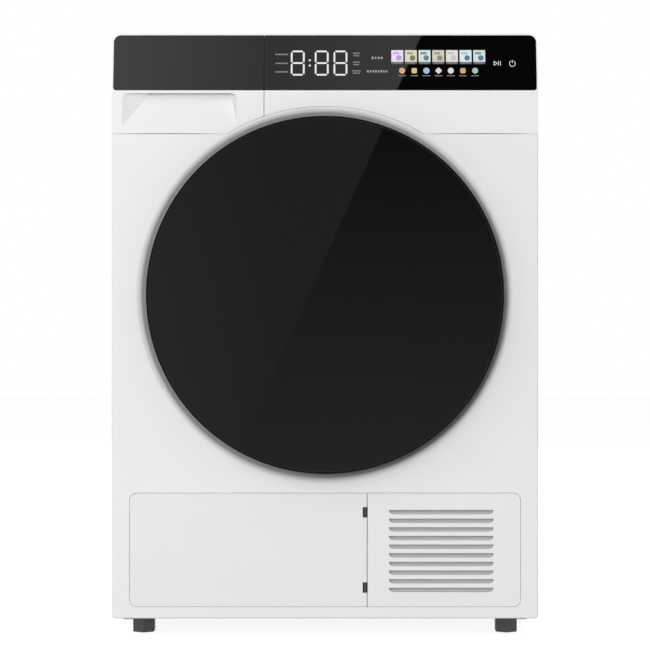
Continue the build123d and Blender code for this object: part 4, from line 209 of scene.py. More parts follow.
@dataclass
class FinishShop:
    """Builds the shared pattern groups and the materials once each."""

    drift_detail: float = 3.0  # noise octaves of the tone patches
    pore_detail: float = 2.0
    line_detail: float = 4.0
    grain_span: Pair = (0.3, 0.7)  # grain heights that are smoothest and roughest
    pattern_share: float = 0.3  # how much of the pattern shows over a print's own tones
    groups: dict[Pattern, bpy.types.NodeTree] = field(default_factory=dict)
    materials: dict[str, bpy.types.Material] = field(default_factory=dict)

    @staticmethod
    def _sockets(group: bpy.types.NodeTree) -> None:
        """Gives a pattern group its named inputs and outputs.

        Args:
            group: The empty shader group.
        """
        face = group.interface
        for name in ("Tone A", "Tone B"):
            face.new_socket(name=name, in_out="INPUT", socket_type="NodeSocketColor")
        for name in ("Drift Scale", "Grain Scale", "Rough Low", "Rough High",
                     "Shade Start", "Shade End"):
            face.new_socket(name=name, in_out="INPUT", socket_type="NodeSocketFloat")
        face.new_socket(name="Stretch", in_out="INPUT", socket_type="NodeSocketVector")
        face.new_socket(name="Color", in_out="OUTPUT", socket_type="NodeSocketColor")
        for name in ("Roughness", "Height"):
            face.new_socket(name=name, in_out="OUTPUT", socket_type="NodeSocketFloat")

    def group(self, pattern: Pattern) -> bpy.types.NodeTree:
        """Gives the shader group of a pattern, built on first use.

        The tone is mix(A, B, n(drift p)) and the roughness runs from low to high with the grain g.
        For SKIN g = n(grain p); for DRAWN p is first squeezed by the stretch; for WOVEN g is the
        larger of |sin(grain x)| and |sin(grain z)|. The shaded pattern is SKIN with the tone
        mix(A, B, smoothstep(start, end, y)): painted shade that darkens the tone behind a front
        plane.

        Args:
            pattern: Which effect.

        Returns:
            The group's node tree.
        """
        if pattern in self.groups:
            return self.groups[pattern]
        group = bpy.data.node_groups.new(f"pattern_{pattern.name.lower()}", "ShaderNodeTree")
        self._sockets(group)
        nodes, link = group.nodes, group.links.new
        source = nodes.new("NodeGroupInput")
        result = nodes.new("NodeGroupOutput")
        place = nodes.new("ShaderNodeTexCoord")
        drift = nodes.new("ShaderNodeTexNoise")
        drift.inputs["Detail"].default_value = self.drift_detail
        link(place.outputs["Object"], drift.inputs["Vector"])
        link(source.outputs["Drift Scale"], drift.inputs["Scale"])
        tone = nodes.new("ShaderNodeMix")
        tone.data_type = "RGBA"
        share = drift.outputs["Fac"]
        # painted shade: behind the front plane the tone darkens instead of drifting
        if pattern is Pattern.SHADED:
            share = self._painted_shade_share(group, place.outputs["Object"], source)
        link(share, tone.inputs["Factor"])
        link(source.outputs["Tone A"], tone.inputs["A"])
        link(source.outputs["Tone B"], tone.inputs["B"])
        squeeze = nodes.new("ShaderNodeVectorMath")
        squeeze.operation = "MULTIPLY"
        link(place.outputs["Object"], squeeze.inputs[0])
        link(source.outputs["Stretch"], squeeze.inputs[1])
        if pattern is Pattern.WOVEN:
            grain = self._threads(group, squeeze.outputs["Vector"], source.outputs["Grain Scale"])
        else:
            noise = nodes.new("ShaderNodeTexNoise")
            noise.inputs["Detail"].default_value = (
                self.line_detail if pattern is Pattern.DRAWN else self.pore_detail)
            link(squeeze.outputs["Vector"], noise.inputs["Vector"])
            link(source.outputs["Grain Scale"], noise.inputs["Scale"])
            grain = noise.outputs["Fac"]
        rough = nodes.new("ShaderNodeMapRange")
        rough.inputs["From Min"].default_value = self.grain_span[0]
        rough.inputs["From Max"].default_value = self.grain_span[1]
        link(grain, rough.inputs["Value"])
        link(source.outputs["Rough Low"], rough.inputs["To Min"])
        link(source.outputs["Rough High"], rough.inputs["To Max"])
        link(tone.outputs["Result"], result.inputs["Color"])
        link(rough.outputs["Result"], result.inputs["Roughness"])
        link(grain, result.inputs["Height"])
        self.groups[pattern] = group
        return group

    @staticmethod
    def _painted_shade_share(group: bpy.types.NodeTree, vector: bpy.types.NodeSocket,
                source: bpy.types.Node) -> bpy.types.NodeSocket:
        """Adds the share smoothstep(start, end, y) of the second tone behind a front plane: painted
        shade.

        Args:
            group: The tree to add to.
            vector: The place on the surface.
            source: The group's input node, with the start and the end.

        Returns:
            The share socket.
        """
        nodes, link = group.nodes, group.links.new
        axes = nodes.new("ShaderNodeSeparateXYZ")
        link(vector, axes.inputs["Vector"])
        step = nodes.new("ShaderNodeMapRange")
        step.interpolation_type = "SMOOTHSTEP"
        link(axes.outputs["Y"], step.inputs["Value"])
        link(source.outputs["Shade Start"], step.inputs["From Min"])
        link(source.outputs["Shade End"], step.inputs["From Max"])
        return step.outputs["Result"]

    @staticmethod
    def _threads(group: bpy.types.NodeTree, vector: bpy.types.NodeSocket,
                 scale: bpy.types.NodeSocket) -> bpy.types.NodeSocket:
        """Adds the woven height: max(|sin(s x)|, |sin(s z)|) over one pair of axes.

        Args:
            group: The tree to add to.
            vector: The place on the surface.
            scale: Threads per metre.

        Returns:
            The height socket.
        """
        nodes, link = group.nodes, group.links.new
        scaled = nodes.new("ShaderNodeVectorMath")
        scaled.operation = "SCALE"
        link(vector, scaled.inputs[0])
        link(scale, scaled.inputs["Scale"])
        axes = nodes.new("ShaderNodeSeparateXYZ")
        link(scaled.outputs["Vector"], axes.inputs["Vector"])
        waves = []
        for axis in ("X", "Z"):
            sine = nodes.new("ShaderNodeMath")
            sine.operation = "SINE"
            link(axes.outputs[axis], sine.inputs[0])
            size = nodes.new("ShaderNodeMath")
            size.operation = "ABSOLUTE"
            link(sine.outputs["Value"], size.inputs[0])
            waves.append(size.outputs["Value"])
        over = nodes.new("ShaderNodeMath")
        over.operation = "MAXIMUM"
        link(waves[0], over.inputs[0])
        link(waves[1], over.inputs[1])
        return over.outputs["Value"]

    def material(self, finish: Finish, tone_attribute: str = "") -> bpy.types.Material:
        """Gives the material of a finish, built on first use.

        Args:
            finish: The finish.
            tone_attribute: A colour attribute of the mesh that the pattern is laid over, or none.

        Returns:
            The material.
        """
        if finish.name in self.materials:
            return self.materials[finish.name]
        material = bpy.data.materials.new(finish.name)
        material.use_nodes = True
        nodes, link = material.node_tree.nodes, material.node_tree.links.new
        surface = nodes["Principled BSDF"]
        pattern = nodes.new("ShaderNodeGroup")
        pattern.node_tree = self.group(finish.pattern)
        for socket, value in (
            ("Tone A", (*finish.tone_a, 1.0)), ("Tone B", (*finish.tone_b, 1.0)),
            ("Drift Scale", finish.drift), ("Grain Scale", finish.grain),
            ("Rough Low", finish.rough[0]), ("Rough High", finish.rough[1]),
            ("Shade Start", finish.shade[0]), ("Shade End", finish.shade[1]),
            ("Stretch", finish.stretch),
        ):
            pattern.inputs[socket].default_value = value
        colour = pattern.outputs["Color"]
        if tone_attribute:
            tint = nodes.new("ShaderNodeVertexColor")
            tint.layer_name = tone_attribute
            blend = nodes.new("ShaderNodeMix")
            blend.data_type = "RGBA"
            blend.blend_type = "OVERLAY"
            blend.inputs["Factor"].default_value = self.pattern_share
            link(tint.outputs["Color"], blend.inputs["A"])
            link(colour, blend.inputs["B"])
            colour = blend.outputs["Result"]
        link(colour, surface.inputs["Base Color"])
        link(pattern.outputs["Roughness"], surface.inputs["Roughness"])
        if finish.bump > 0.0:
            bump = nodes.new("ShaderNodeBump")
            bump.inputs["Strength"].default_value = finish.bump
            bump.inputs["Distance"].default_value = finish.depth
            link(pattern.outputs["Height"], bump.inputs["Height"])
            link(bump.outputs["Normal"], surface.inputs["Normal"])
        for socket, value in (
            ("Metallic", finish.metallic), ("Specular IOR Level", finish.specular),
            ("IOR", finish.ior), ("Coat Weight", finish.coat),
            ("Transmission Weight", finish.transmission), ("Sheen Weight", finish.sheen),
        ):
            surface.inputs[socket].default_value = value
        if finish.glow > 0.0:
            link(colour, surface.inputs["Emission Color"])
            surface.inputs["Emission Strength"].default_value = finish.glow
        self.materials[finish.name] = material
        return material


def rounded_outline(width: np.ndarray, height: np.ndarray, radius: np.ndarray,
                    steps: int = 4) -> np.ndarray:
    """Outlines of rounded rectangles, one a row.

    Each corner is its centre (w/2 - r, h/2 - r) plus r (cos a, sin a) over a quarter turn.

    Args:
        width: Widths, one a rectangle.
        height: Heights.
        radius: Corner radii.
        steps: Points on each corner less one.

    Returns:
        Points of shape (rectangles, 4 (steps + 1), 2), counter-clockwise.
    """
    quarter = 0.5 * np.pi
    turn = np.linspace(0.0, quarter, steps + 1)[None, :] + quarter * np.arange(4)[:, None]
    sign = np.array([[1, 1], [-1, 1], [-1, -1], [1, -1]], float)
    half = np.stack([width / 2 - radius, height / 2 - radius], -1)
    centres = half[:, None, None, :] * sign[None, :, None, :]
    arcs = np.stack([np.cos(turn), np.sin(turn)], -1)[None] * radius[:, None, None, None]
    return (centres + arcs).reshape(len(width), -1, 2)


def hex_bars(length: np.ndarray, thick: float, upright: np.ndarray) -> np.ndarray:
    """Outlines of display bars: hexagons with 45 degree tips, some turned upright.

    Args:
        length: Tip to tip, one a bar.
        thick: Width of every bar.
        upright: True where the bar stands along v.

    Returns:
        Points of shape (bars, 6, 2), counter-clockwise.
    """
    tip, shoulder, half = length / 2, length / 2 - thick / 2, np.full_like(length, thick / 2)
    zero = np.zeros_like(length)
    u = np.stack([tip, shoulder, -shoulder, -tip, -shoulder, shoulder], -1)
    v = np.stack([zero, half, half, zero, -half, -half], -1)
    flat = np.stack([u, v], -1)
    stood = np.stack([-v, u], -1)
    return np.where(upright[:, None, None], stood, flat)


def arc_strip(radius: float, thick: float, start: float, end: float, steps: int) -> np.ndarray:
    """Outline of a bent strip: the outer arc r + t/2 forward, then the inner arc r - t/2 back.

    Args:
        radius: Middle radius.
        thick: Width of the strip.
        start: First angle in radians.
        end: Last angle.
        steps: Points on each arc.

    Returns:
        Points of shape (1, 2 steps, 2).
    """
    turn = np.linspace(start, end, steps)
    ray = np.stack([np.cos(turn), np.sin(turn)], -1)
    return np.concatenate([ray * (radius + thick / 2), ray[::-1] * (radius - thick / 2)])[None]


def superellipse(half_u: np.ndarray, half_v: np.ndarray, power: np.ndarray,
                 steps: int = 32) -> np.ndarray:
    """Outlines |u/a|^p + |v/b|^p = 1: p = 2 is round, 4 a soft square, 1 a diamond.

    Args:
        half_u: Half widths a.
        half_v: Half heights b.
        power: Powers p.
        steps: Points on each outline.

    Returns:
        Points of shape (outlines, steps, 2), counter-clockwise.
    """
    turn = np.linspace(0.0, 2 * np.pi, steps, endpoint=False)[None, :]
    c, s = np.cos(turn), np.sin(turn)
    u = np.sign(c) * np.abs(c) ** (2 / power[:, None]) * half_u[:, None]
    v = np.sign(s) * np.abs(s) ** (2 / power[:, None]) * half_v[:, None]
    return np.stack([u, v], -1)


def plates(outlines: np.ndarray, low: float, high: float) -> tuple[np.ndarray, list[list[int]]]:
    """Thin flat plates: every outline at heights low and high, side faces between, two caps.

    Args:
        outlines: Points of shape (plates, n, 2), counter-clockwise.
        low: Height of the underside.
        high: Height of the face.

    Returns:
        Points of shape (2 plates n, 3) as (u, v, w), and the faces.
    """
    count, n, _ = outlines.shape
    flat = np.repeat(outlines[:, None], 2, axis=1)
    rise = np.broadcast_to(np.array([low, high])[None, :, None, None], (count, 2, n, 1))
    points = np.concatenate([flat, rise], -1).reshape(-1, 3)
    start = (2 * n * np.arange(count))[:, None]
    ring = np.arange(n)[None, :]
    after = (ring + 1) % n
    top = start + n
    sides = np.stack([start + ring, start + after, top + after, top + ring], -1).reshape(-1, 4)
    caps = np.concatenate([top + ring, start + ring[:, ::-1]])
    return points, sides.tolist() + caps.tolist()


@dataclass(frozen=True)
class BandPlane:
    """The leaning control glass: u runs along X, v up the glass from its foot, w out of it."""

    foot_y: float = -0.2805
    foot_z: float = 0.7625
    rise: float = 0.0825  # height of the leaning face
    lean: float = 0.013  # how far back its head lies
    proud: float = 0.0003  # glass face in front of that plane

    def place(self, points: np.ndarray) -> np.ndarray:
        """Maps (u, v, w) to the frame: x = u, y and z turned by the lean, w from the glass face.

        Args:
            points: Points of shape (n, 3).

        Returns:
            Points of the same shape in metres.
        """
        slope = math.hypot(self.rise, self.lean)
        cos, sin = self.rise / slope, self.lean / slope
        u, v, w = points.T
        out = w + self.proud
        y = self.foot_y + v * sin - out * cos
        z = self.foot_z + v * cos + out * sin
        return np.stack([u, y, z], -1)


@dataclass
class SubAssembly:
    """What every sub-assembly shares: dressing CAD nodes and adding pieces that ride on a body."""

    body: ClassVar[str] = "cabinet"
    shop: FinishShop

    def dress(self, finish: Finish, *nodes: str) -> None:
        """Gives CAD nodes a finish.

        Args:
            finish: The finish.
            nodes: Names of the nodes.
        """
        for name in nodes:
            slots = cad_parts[name].data.materials
            slots.clear()
            slots.append(self.shop.material(finish))
            LOG.info("dressed %s in %s", name, finish.name)

    def piece(self, name: str, points: np.ndarray, faces: list[list[int]], finish: Finish,
              slot: str, tones: np.ndarray | None = None) -> None:
        """Makes a mesh piece that rides on this sub-assembly's body.

        Args:
            name: Plain name of the piece.
            points: Points of shape (n, 3) in metres.
            faces: Point numbers of each face.
            finish: The finish.
            slot: The record's material slot; not used.
            tones: One colour a point, or none.
        """
        mesh = bpy.data.meshes.new(name)
        mesh.from_pydata(points.tolist(), [], faces)
        if tones is not None:
            layer = mesh.color_attributes.new(name="tone", type="FLOAT_COLOR", domain="POINT")
            rgba = np.concatenate([tones, np.ones((len(tones), 1))], 1)
            layer.data.foreach_set("color", rgba.astype(np.float32).ravel())
        mesh.materials.append(self.shop.material(finish, "tone" if tones is not None else ""))
        mesh.validate()
        made = bpy.data.objects.new(name, mesh)
        bpy.context.scene.collection.objects.link(made)
        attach(made, self.body)
        LOG.info("made %s, %d faces, riding on %s", name, len(mesh.polygons), self.body)


class CabinetShell(SubAssembly):
    """Outer sheets, worktop, base, feet and the rear."""

    def build(self) -> None:
        """Dresses the shell's nodes."""
        self.dress(WHITE_ENAMEL, "front_panel", "side_panel_left", "side_panel_right")
        self.dress(WHITE_MOULDING, "top_panel")
        self.dress(GREY_MOULDING, "base_tray")
        self.dress(FOOT_MOULDING, "foot_front_left", "foot_front_right",
                   "foot_rear_left", "foot_rear_right")
        self.dress(ZINC_SHEET, "rear_panel", "rear_duct_cover")
        self.dress(SCREW_STEEL, "rear_screws")
        self.dress(BLACK_RUBBER, "cord_gland")


@dataclass(frozen=True)
class Programme:
    """The tones of one programme tile: its ground, the bar on it and the spot on it."""

    ground: Colour
    bar: Colour
    spot: Colour


class SpotForm(Enum):
    """The superellipse power of a printed spot."""

    ROUND = 2.0
    SOFT_SQUARE = 4.0
    SOFT_DIAMOND = 1.2


@dataclass(frozen=True)
class Option:
    """One option spot: its tone, half its size in millimetres and its form."""

    tone: Colour
    half: float
    form: SpotForm


PROGRAMMES = (
    Programme((0.44, 0.40, 0.45), (0.337, 0.23, 0.395), (0.30, 0.16, 0.37)),
    Programme((0.395, 0.375, 0.30), (0.20, 0.185, 0.125), (0.11, 0.10, 0.053)),
    Programme((0.375, 0.41, 0.40), (0.10, 0.13, 0.13), (0.06, 0.12, 0.11)),
    Programme((0.355, 0.33, 0.30), (0.21, 0.16, 0.13), (0.15, 0.125, 0.10)),
    Programme((0.425, 0.41, 0.407), (0.355, 0.28, 0.177), (0.317, 0.306, 0.30)),
    Programme((0.395, 0.45, 0.48), (0.177, 0.30, 0.355), (0.036, 0.11, 0.14)),
    Programme((0.355, 0.395, 0.425), (0.12, 0.165, 0.026), (0.04, 0.11, 0.177)),
)
OPTIONS = (
    Option((0.395, 0.205, 0.12), 4.2, SpotForm.ROUND),
    Option((0.355, 0.28, 0.165), 3.8, SpotForm.SOFT_SQUARE),
    Option((0.177, 0.28, 0.46), 4.4, SpotForm.ROUND),
    Option((0.436, 0.355, 0.355), 4.6, SpotForm.SOFT_DIAMOND),
    Option((0.395, 0.395, 0.355), 4.2, SpotForm.ROUND),
    Option((0.337, 0.205, 0.11), 3.8, SpotForm.SOFT_SQUARE),
    Option((0.265, 0.265, 0.26), 4.2, SpotForm.ROUND),
)
# millimetres on the glass, one caption a row: u, v, width, height, pitch of the blocks
DISPLAY_CAPTIONS = (
    (-60.6, 53.2, 17.6, 1.9, 1.6), (-60.6, 40.3, 17.6, 1.9, 1.6), (-60.6, 28.0, 17.6, 1.9, 1.6),
    (43.9, 54.9, 9.9, 1.7, 1.65), (43.9, 51.4, 8.2, 1.7, 1.65),
    (43.9, 42.0, 9.9, 1.7, 1.65), (43.9, 38.5, 8.2, 1.7, 1.65),
    (43.9, 29.4, 11.6, 1.7, 1.65), (43.9, 26.2, 9.9, 1.7, 1.65),
    (72.9, 48.2, 16.6, 3.4, 4.15), (72.9, 28.8, 29.6, 3.4, 3.7),
)


@dataclass
class ControlBand(SubAssembly):
    """The fascia with its leaning glass and all that is printed or lit on it, in millimetres."""

    plane: BandPlane = BandPlane()
    digit_width: float = 19.3
    digit_height: float = 36.2
    digit_stroke: float = 2.4
    digit_gap: float = 0.85
    digit_v: float = 40.7
    digit_u: tuple[float, ...] = (-38.1, -4.6, 21.6)
    colon_u: float = -21.3
    colon_v: tuple[float, ...] = (44.7, 37.1)
    colon_size: float = 2.6
    colon_round: float = 0.6
    tile_u: float = 101.1
    tile_v: float = 49.3
    tile_pitch: float = 19.1
    tile_size: Pair = (16.7, 20.2)
    tile_round: float = 0.7
    tile_bar: Pair = (9.0, 3.2)
    tile_bar_round: float = 1.2
    tile_bar_shift: Pair = (-1.6, 5.6)  # from the tile's middle
    tile_spot_half: float = 3.9
    tile_spot_shift: Pair = (2.2, -1.2)
    foot_height: float = 3.2  # dark foot of a tile
    foot_share: float = 0.12  # of the tile's tone
    foot_caption: Vector = (12.0, 1.3, 1.5)  # width, height, pitch
    icon_u: float = 107.7
    icon_v: float = 29.7
    icon_pitch: float = 17.0
    icon_caption: Vector = (10.5, 1.3, 1.5)
    icon_caption_v: float = 22.4
    block_share: float = 0.62  # of the pitch
    block_sway: float = 0.12
    block_turn: float = 2.4  # radians from block to block
    block_round: float = 0.18  # of a block's width
    block_steps: int = 2
    play_u: float = 240.7
    play_corners: tuple[Pair, ...] = ((2.7, 0.0), (-2.6, 3.3), (-2.6, -3.3))
    play_shift: float = -2.1
    pause_shift: Pair = (1.7, 4.4)
    pause_height: float = 6.6
    power_u: float = 261.9
    power_radius: float = 4.1
    power_span: Pair = (122.0, 418.0)  # degrees of the open ring
    power_steps: int = 40
    power_ring_shift: float = -0.4
    power_bar_height: float = 4.4
    power_bar_shift: float = 2.8
    symbol_v: float = 40.4
    symbol_stroke: float = 0.5
    symbol_round: float = 0.3
    print_gap: float = 0.02  # under the first layer
    print_thick: float = 0.06

    def build(self) -> None:
        """Dresses the fascia and adds the marks."""
        self.dress(WHITE_MOULDING, "control_fascia")
        self.dress(BLACK_STRIP, "control_glass")
        self.dress(SOLDER_MASK, "control_board")
        self.build_digits()
        self.build_labels()
        self.build_swatches()
        self.build_symbols()

    def mark(self, name: str, outlines: np.ndarray, centres: np.ndarray, finish: Finish,
             tones: np.ndarray | None = None, level: int = 0) -> None:
        """Lays thin plates on the glass.

        Args:
            name: Name of the piece.
            outlines: Outlines about their own centres, millimetres.
            centres: Centres (u, v), one a plate.
            finish: The finish of the print.
            tones: One colour a plate, or none.
            level: How many print layers lie under it.
        """
        spread = outlines + centres[:, None, :]
        low = self.print_gap + level * self.print_thick
        points, faces = plates(spread, low, low + self.print_thick)
        per_point = None if tones is None else np.repeat(tones, 2 * outlines.shape[1], axis=0)
        placed = self.plane.place(points * MM)
        self.piece(name, placed, faces, finish, "white_plastic", per_point)

    @staticmethod
    def row(u: np.ndarray, v: float) -> np.ndarray:
        """Gives the centres (u, v) of marks in one level row.

        Args:
            u: Places along the glass, one a mark.
            v: Height of the row.

        Returns:
            Centres of shape (marks, 2).
        """
        return np.stack([u, np.full_like(u, v)], -1)

    def build_digits(self) -> None:
        """Three seven-bar digits and the colon: bars on a digit's lines, tips short by the gap."""
        wide = self.digit_width - self.digit_stroke
        tall = (self.digit_height - self.digit_stroke) / 2
        u = np.array([0, 0, 0, -1, 1, -1, 1]) * wide / 2
        v = np.array([1, 0, -1, 0.5, 0.5, -0.5, -0.5]) * tall
        upright = np.array([False] * 3 + [True] * 4)
        length = np.where(upright, tall, wide) - 2 * self.digit_gap
        digits = self.row(np.array(self.digit_u), self.digit_v)
        bars = np.tile(hex_bars(length, self.digit_stroke, upright), (len(digits), 1, 1))
        centres = (digits[:, None, :] + np.stack([u, v], -1)[None]).reshape(-1, 2)
        self.mark("display_digits", bars, centres, LIT_PRINT)
        colon = np.array([[self.colon_u, v] for v in self.colon_v])
        size = np.full(len(colon), self.colon_size)
        dots = rounded_outline(size, size, np.full(len(colon), self.colon_round))
        self.mark("display_colon", dots, colon, LIT_PRINT)

    def caption(self, name: str, rows: np.ndarray, finish: Finish, level: int = 0) -> None:
        """Rows of plain blocks where captions stand.

        Block k of a row is at u + (k + 1/2) pitch - width/2, and is pitch times
        share + sway cos(turn k) wide.

        Args:
            name: Name of the piece.
            rows: One caption a row: u, v, width, height, pitch of the blocks.
            finish: The finish of the print.
            level: How many print layers lie under it.
        """
        counts = np.maximum(np.round(rows[:, 2] / rows[:, 4]).astype(int), 1)
        each = np.repeat(rows, counts, axis=0)
        order = np.arange(len(each)) - np.repeat(np.cumsum(counts) - counts, counts)
        u = each[:, 0] - each[:, 2] / 2 + (order + 0.5) * each[:, 4]
        sway = self.block_sway * np.cos(self.block_turn * order)
        wide = each[:, 4] * (self.block_share + sway)
        blocks = rounded_outline(wide, each[:, 3], self.block_round * wide, self.block_steps)
        self.mark(name, blocks, np.stack([u, each[:, 1]], -1), finish, None, level)

    def build_labels(self) -> None:
        """Captions beside the display: single rows, double rows and two larger words."""
        self.caption("display_captions", np.array(DISPLAY_CAPTIONS), DIM_PRINT)

    def build_swatches(self) -> None:
        """Programme tiles with a bar, a spot and a dark foot each, option spots, and captions."""
        one = np.ones(len(PROGRAMMES))
        u = self.tile_u + self.tile_pitch * np.arange(len(PROGRAMMES))
        ground = np.array([programme.ground for programme in PROGRAMMES])
        wide, tall = self.tile_size
        tiles = rounded_outline(one * wide, one * tall, one * self.tile_round)
        self.mark("programme_tiles", tiles, self.row(u, self.tile_v), COLOUR_PRINT, ground)
        bars = rounded_outline(one * self.tile_bar[0], one * self.tile_bar[1],
                               one * self.tile_bar_round)
        shift_u, shift_v = self.tile_bar_shift
        self.mark("programme_bars", bars, self.row(u + shift_u, self.tile_v + shift_v),
                  COLOUR_PRINT, np.array([programme.bar for programme in PROGRAMMES]), 1)
        half = one * self.tile_spot_half
        spots = superellipse(half, half, one * SpotForm.ROUND.value)
        shift_u, shift_v = self.tile_spot_shift
        self.mark("programme_spots", spots, self.row(u + shift_u, self.tile_v + shift_v),
                  COLOUR_PRINT, np.array([programme.spot for programme in PROGRAMMES]), 1)
        foot_v = self.tile_v - tall / 2 + self.foot_height / 2
        feet = rounded_outline(one * wide, one * self.foot_height, one * self.tile_round)
        self.mark("programme_feet", feet, self.row(u, foot_v), COLOUR_PRINT,
                  ground * self.foot_share, 1)
        line = np.stack([u, one * foot_v, *(one * size for size in self.foot_caption)], -1)
        self.caption("programme_captions", line, DIM_PRINT, 2)
        self.build_options()

    def build_options(self) -> None:
        """Option spots in a row below the tiles, with their captions."""
        one = np.ones(len(OPTIONS))
        u = self.icon_u + self.icon_pitch * np.arange(len(OPTIONS))
        half = np.array([option.half for option in OPTIONS])
        power = np.array([option.form.value for option in OPTIONS])
        self.mark("option_spots", superellipse(half, half, power), self.row(u, self.icon_v),
                  COLOUR_PRINT, np.array([option.tone for option in OPTIONS]))
        line = np.stack([u, one * self.icon_caption_v,
                         *(one * size for size in self.icon_caption)], -1)
        self.caption("option_captions", line, DIM_PRINT)

    def build_symbols(self) -> None:
        """The start, pause and power marks: a triangle's outline, two bars, an open ring and a bar.

        The triangle's strips run between its corners c and m + (c - m) (1 - t / r): m is the
        middle of the circle inside it, r that circle's radius and t the strip's width.
        """
        corner = np.array(self.play_corners)
        side = np.linalg.norm(np.roll(corner, 1, 0) - np.roll(corner, -1, 0), axis=1)
        middle = (corner * side[:, None]).sum(0) / side.sum()
        inner = middle + (corner - middle) * (1 - self.symbol_stroke / (middle[0] - corner[1, 0]))
        strips = np.stack([corner, np.roll(corner, -1, 0), np.roll(inner, -1, 0), inner], 1)
        start_u = np.full(len(corner), self.play_u + self.play_shift)
        self.mark("start_mark", strips, self.row(start_u, self.symbol_v), SYMBOL_PRINT)
        pause_u = self.play_u + np.array(self.pause_shift)
        self.mark("pause_mark", self.symbol_bars(len(pause_u), self.pause_height),
                  self.row(pause_u, self.symbol_v), SYMBOL_PRINT)
        power_u = np.array([self.power_u])
        opening, close = (math.radians(angle) for angle in self.power_span)
        ring = arc_strip(self.power_radius, self.symbol_stroke, opening, close, self.power_steps)
        self.mark("power_ring", ring, self.row(power_u, self.symbol_v + self.power_ring_shift),
                  SYMBOL_PRINT)
        self.mark("power_bar", self.symbol_bars(1, self.power_bar_height),
                  self.row(power_u, self.symbol_v + self.power_bar_shift), SYMBOL_PRINT)

    def symbol_bars(self, count: int, height: float) -> np.ndarray:
        """Gives the outlines of equal upright bars one stroke wide.

        Args:
            count: How many.
            height: Their height.

        Returns:
            Outlines of shape (count, points, 2).
        """
        one = np.ones(count)
        return rounded_outline(one * self.symbol_stroke, one * height, one * self.symbol_round)


class TankDrawer(SubAssembly):
    """The water tank behind its drawer front."""

    def build(self) -> None:
        """Dresses the drawer's nodes."""
        self.dress(WHITE_MOULDING, "drawer_front")
        self.dress(BLACK_STRIP, "drawer_glass")
        self.dress(TANK_MOULDING, "water_tank")
        self.dress(GREY_MOULDING, "tank_tray")


class LoadDoor(SubAssembly):
    """The round door with its hinge, lock and seal."""

    def build(self) -> None:
        """Dresses the door's nodes."""
        self.dress(BLACK_PANE, "door_glass")
        self.dress(BLACK_MOULDING, "door_frame")
        self.dress(GREY_MOULDING, "door_liner")
        self.dress(CLEAR_GLASS, "door_window")
        self.dress(ZINC_SHEET, "hinge_bracket", "hinge_leaf")
        self.dress(TURNED_STEEL, "hinge_pin")
        self.dress(DARK_MOULDING, "door_hook", "door_lock")
        self.dress(SEAL_RUBBER, "door_seal")


class LowerFront(SubAssembly):
    """The filter flap, the louvred grille and the filter behind them."""

    def build(self) -> None:
        """Dresses the lower front's nodes."""
        # the flap's darker white is painted shade
        self.dress(FLAP_PAINTED_SHADE, "filter_flap")
        # the grille's louvre slots carry painted shade
        self.dress(GRILLE_PAINTED_SHADE, "air_grille")
        self.dress(DARK_MOULDING, "flap_hinge_pins")
        self.dress(FILTER_FOAM, "exchanger_filter")


class DrumDrive(SubAssembly):
    """The drum, its seats and everything that turns it."""

    def build(self) -> None:
        """Dresses the drum's and the drive's nodes."""
        self.dress(DRUM_STEEL, "drum")
        self.dress(GREY_MOULDING, "drum_lifters", "front_bulkhead", "lint_filter")
        self.dress(FILTER_MESH, "lint_mesh")
        self.dress(WOOL_FELT, "drum_felt")
        self.dress(TURNED_STEEL, "drum_shaft", "rotor_shaft", "roller_axles")
        self.dress(BUSH_BRONZE, "rear_bush")
        self.dress(ZINC_SHEET, "bearing_bracket", "idler_arm")
        self.dress(BLACK_RUBBER, "drive_belt", "support_roller_left", "support_roller_right")
        self.dress(CAST_ALUMINIUM, "motor")
        self.dress(DARK_MOULDING, "fan_wheel", "fan_housing", "idler_pulley")


class HeatPump(SubAssembly):
    """The exchangers, compressor, pipes and condensate pump in the base."""

    def build(self) -> None:
        """Dresses the heat pump's nodes."""
        self.dress(FIN_ALUMINIUM, "evaporator", "condenser")
        self.dress(DARK_MOULDING, "exchanger_cover", "condensate_pump")
        self.dress(BLACK_PAINT, "compressor")
        self.dress(COPPER_PIPE, "refrigerant_pipes")
        self.dress(BLACK_RUBBER, "condensate_hose")


@dataclass(frozen=True)
class Lamp:
    """One soft square lamp: where it stands, its power and its side."""

    name: str
    place: Vector
    watts: float
    side: float


LAMPS = (
    Lamp("front_softbox", (-0.75, -5.86, 2.19), 117.0, 3.3),
    Lamp("level_fill", (-0.9, -6.0, 0.9), 119.0, 1.0),
    Lamp("key_lamp", (-2.6, -2.6, 2.9), 11.5, 1.6),
    Lamp("top_fill", (0.0, 1.1, 3.0), 17.0, 1.6),
    Lamp("left_fill", (-3.0, 1.3, 1.6), 15.0, 1.4),
    Lamp("right_fill", (3.0, 1.3, 1.6), 14.0, 1.4),
    Lamp("rear_fill", (0.5, 3.6, 1.7), 30.0, 2.0),
)


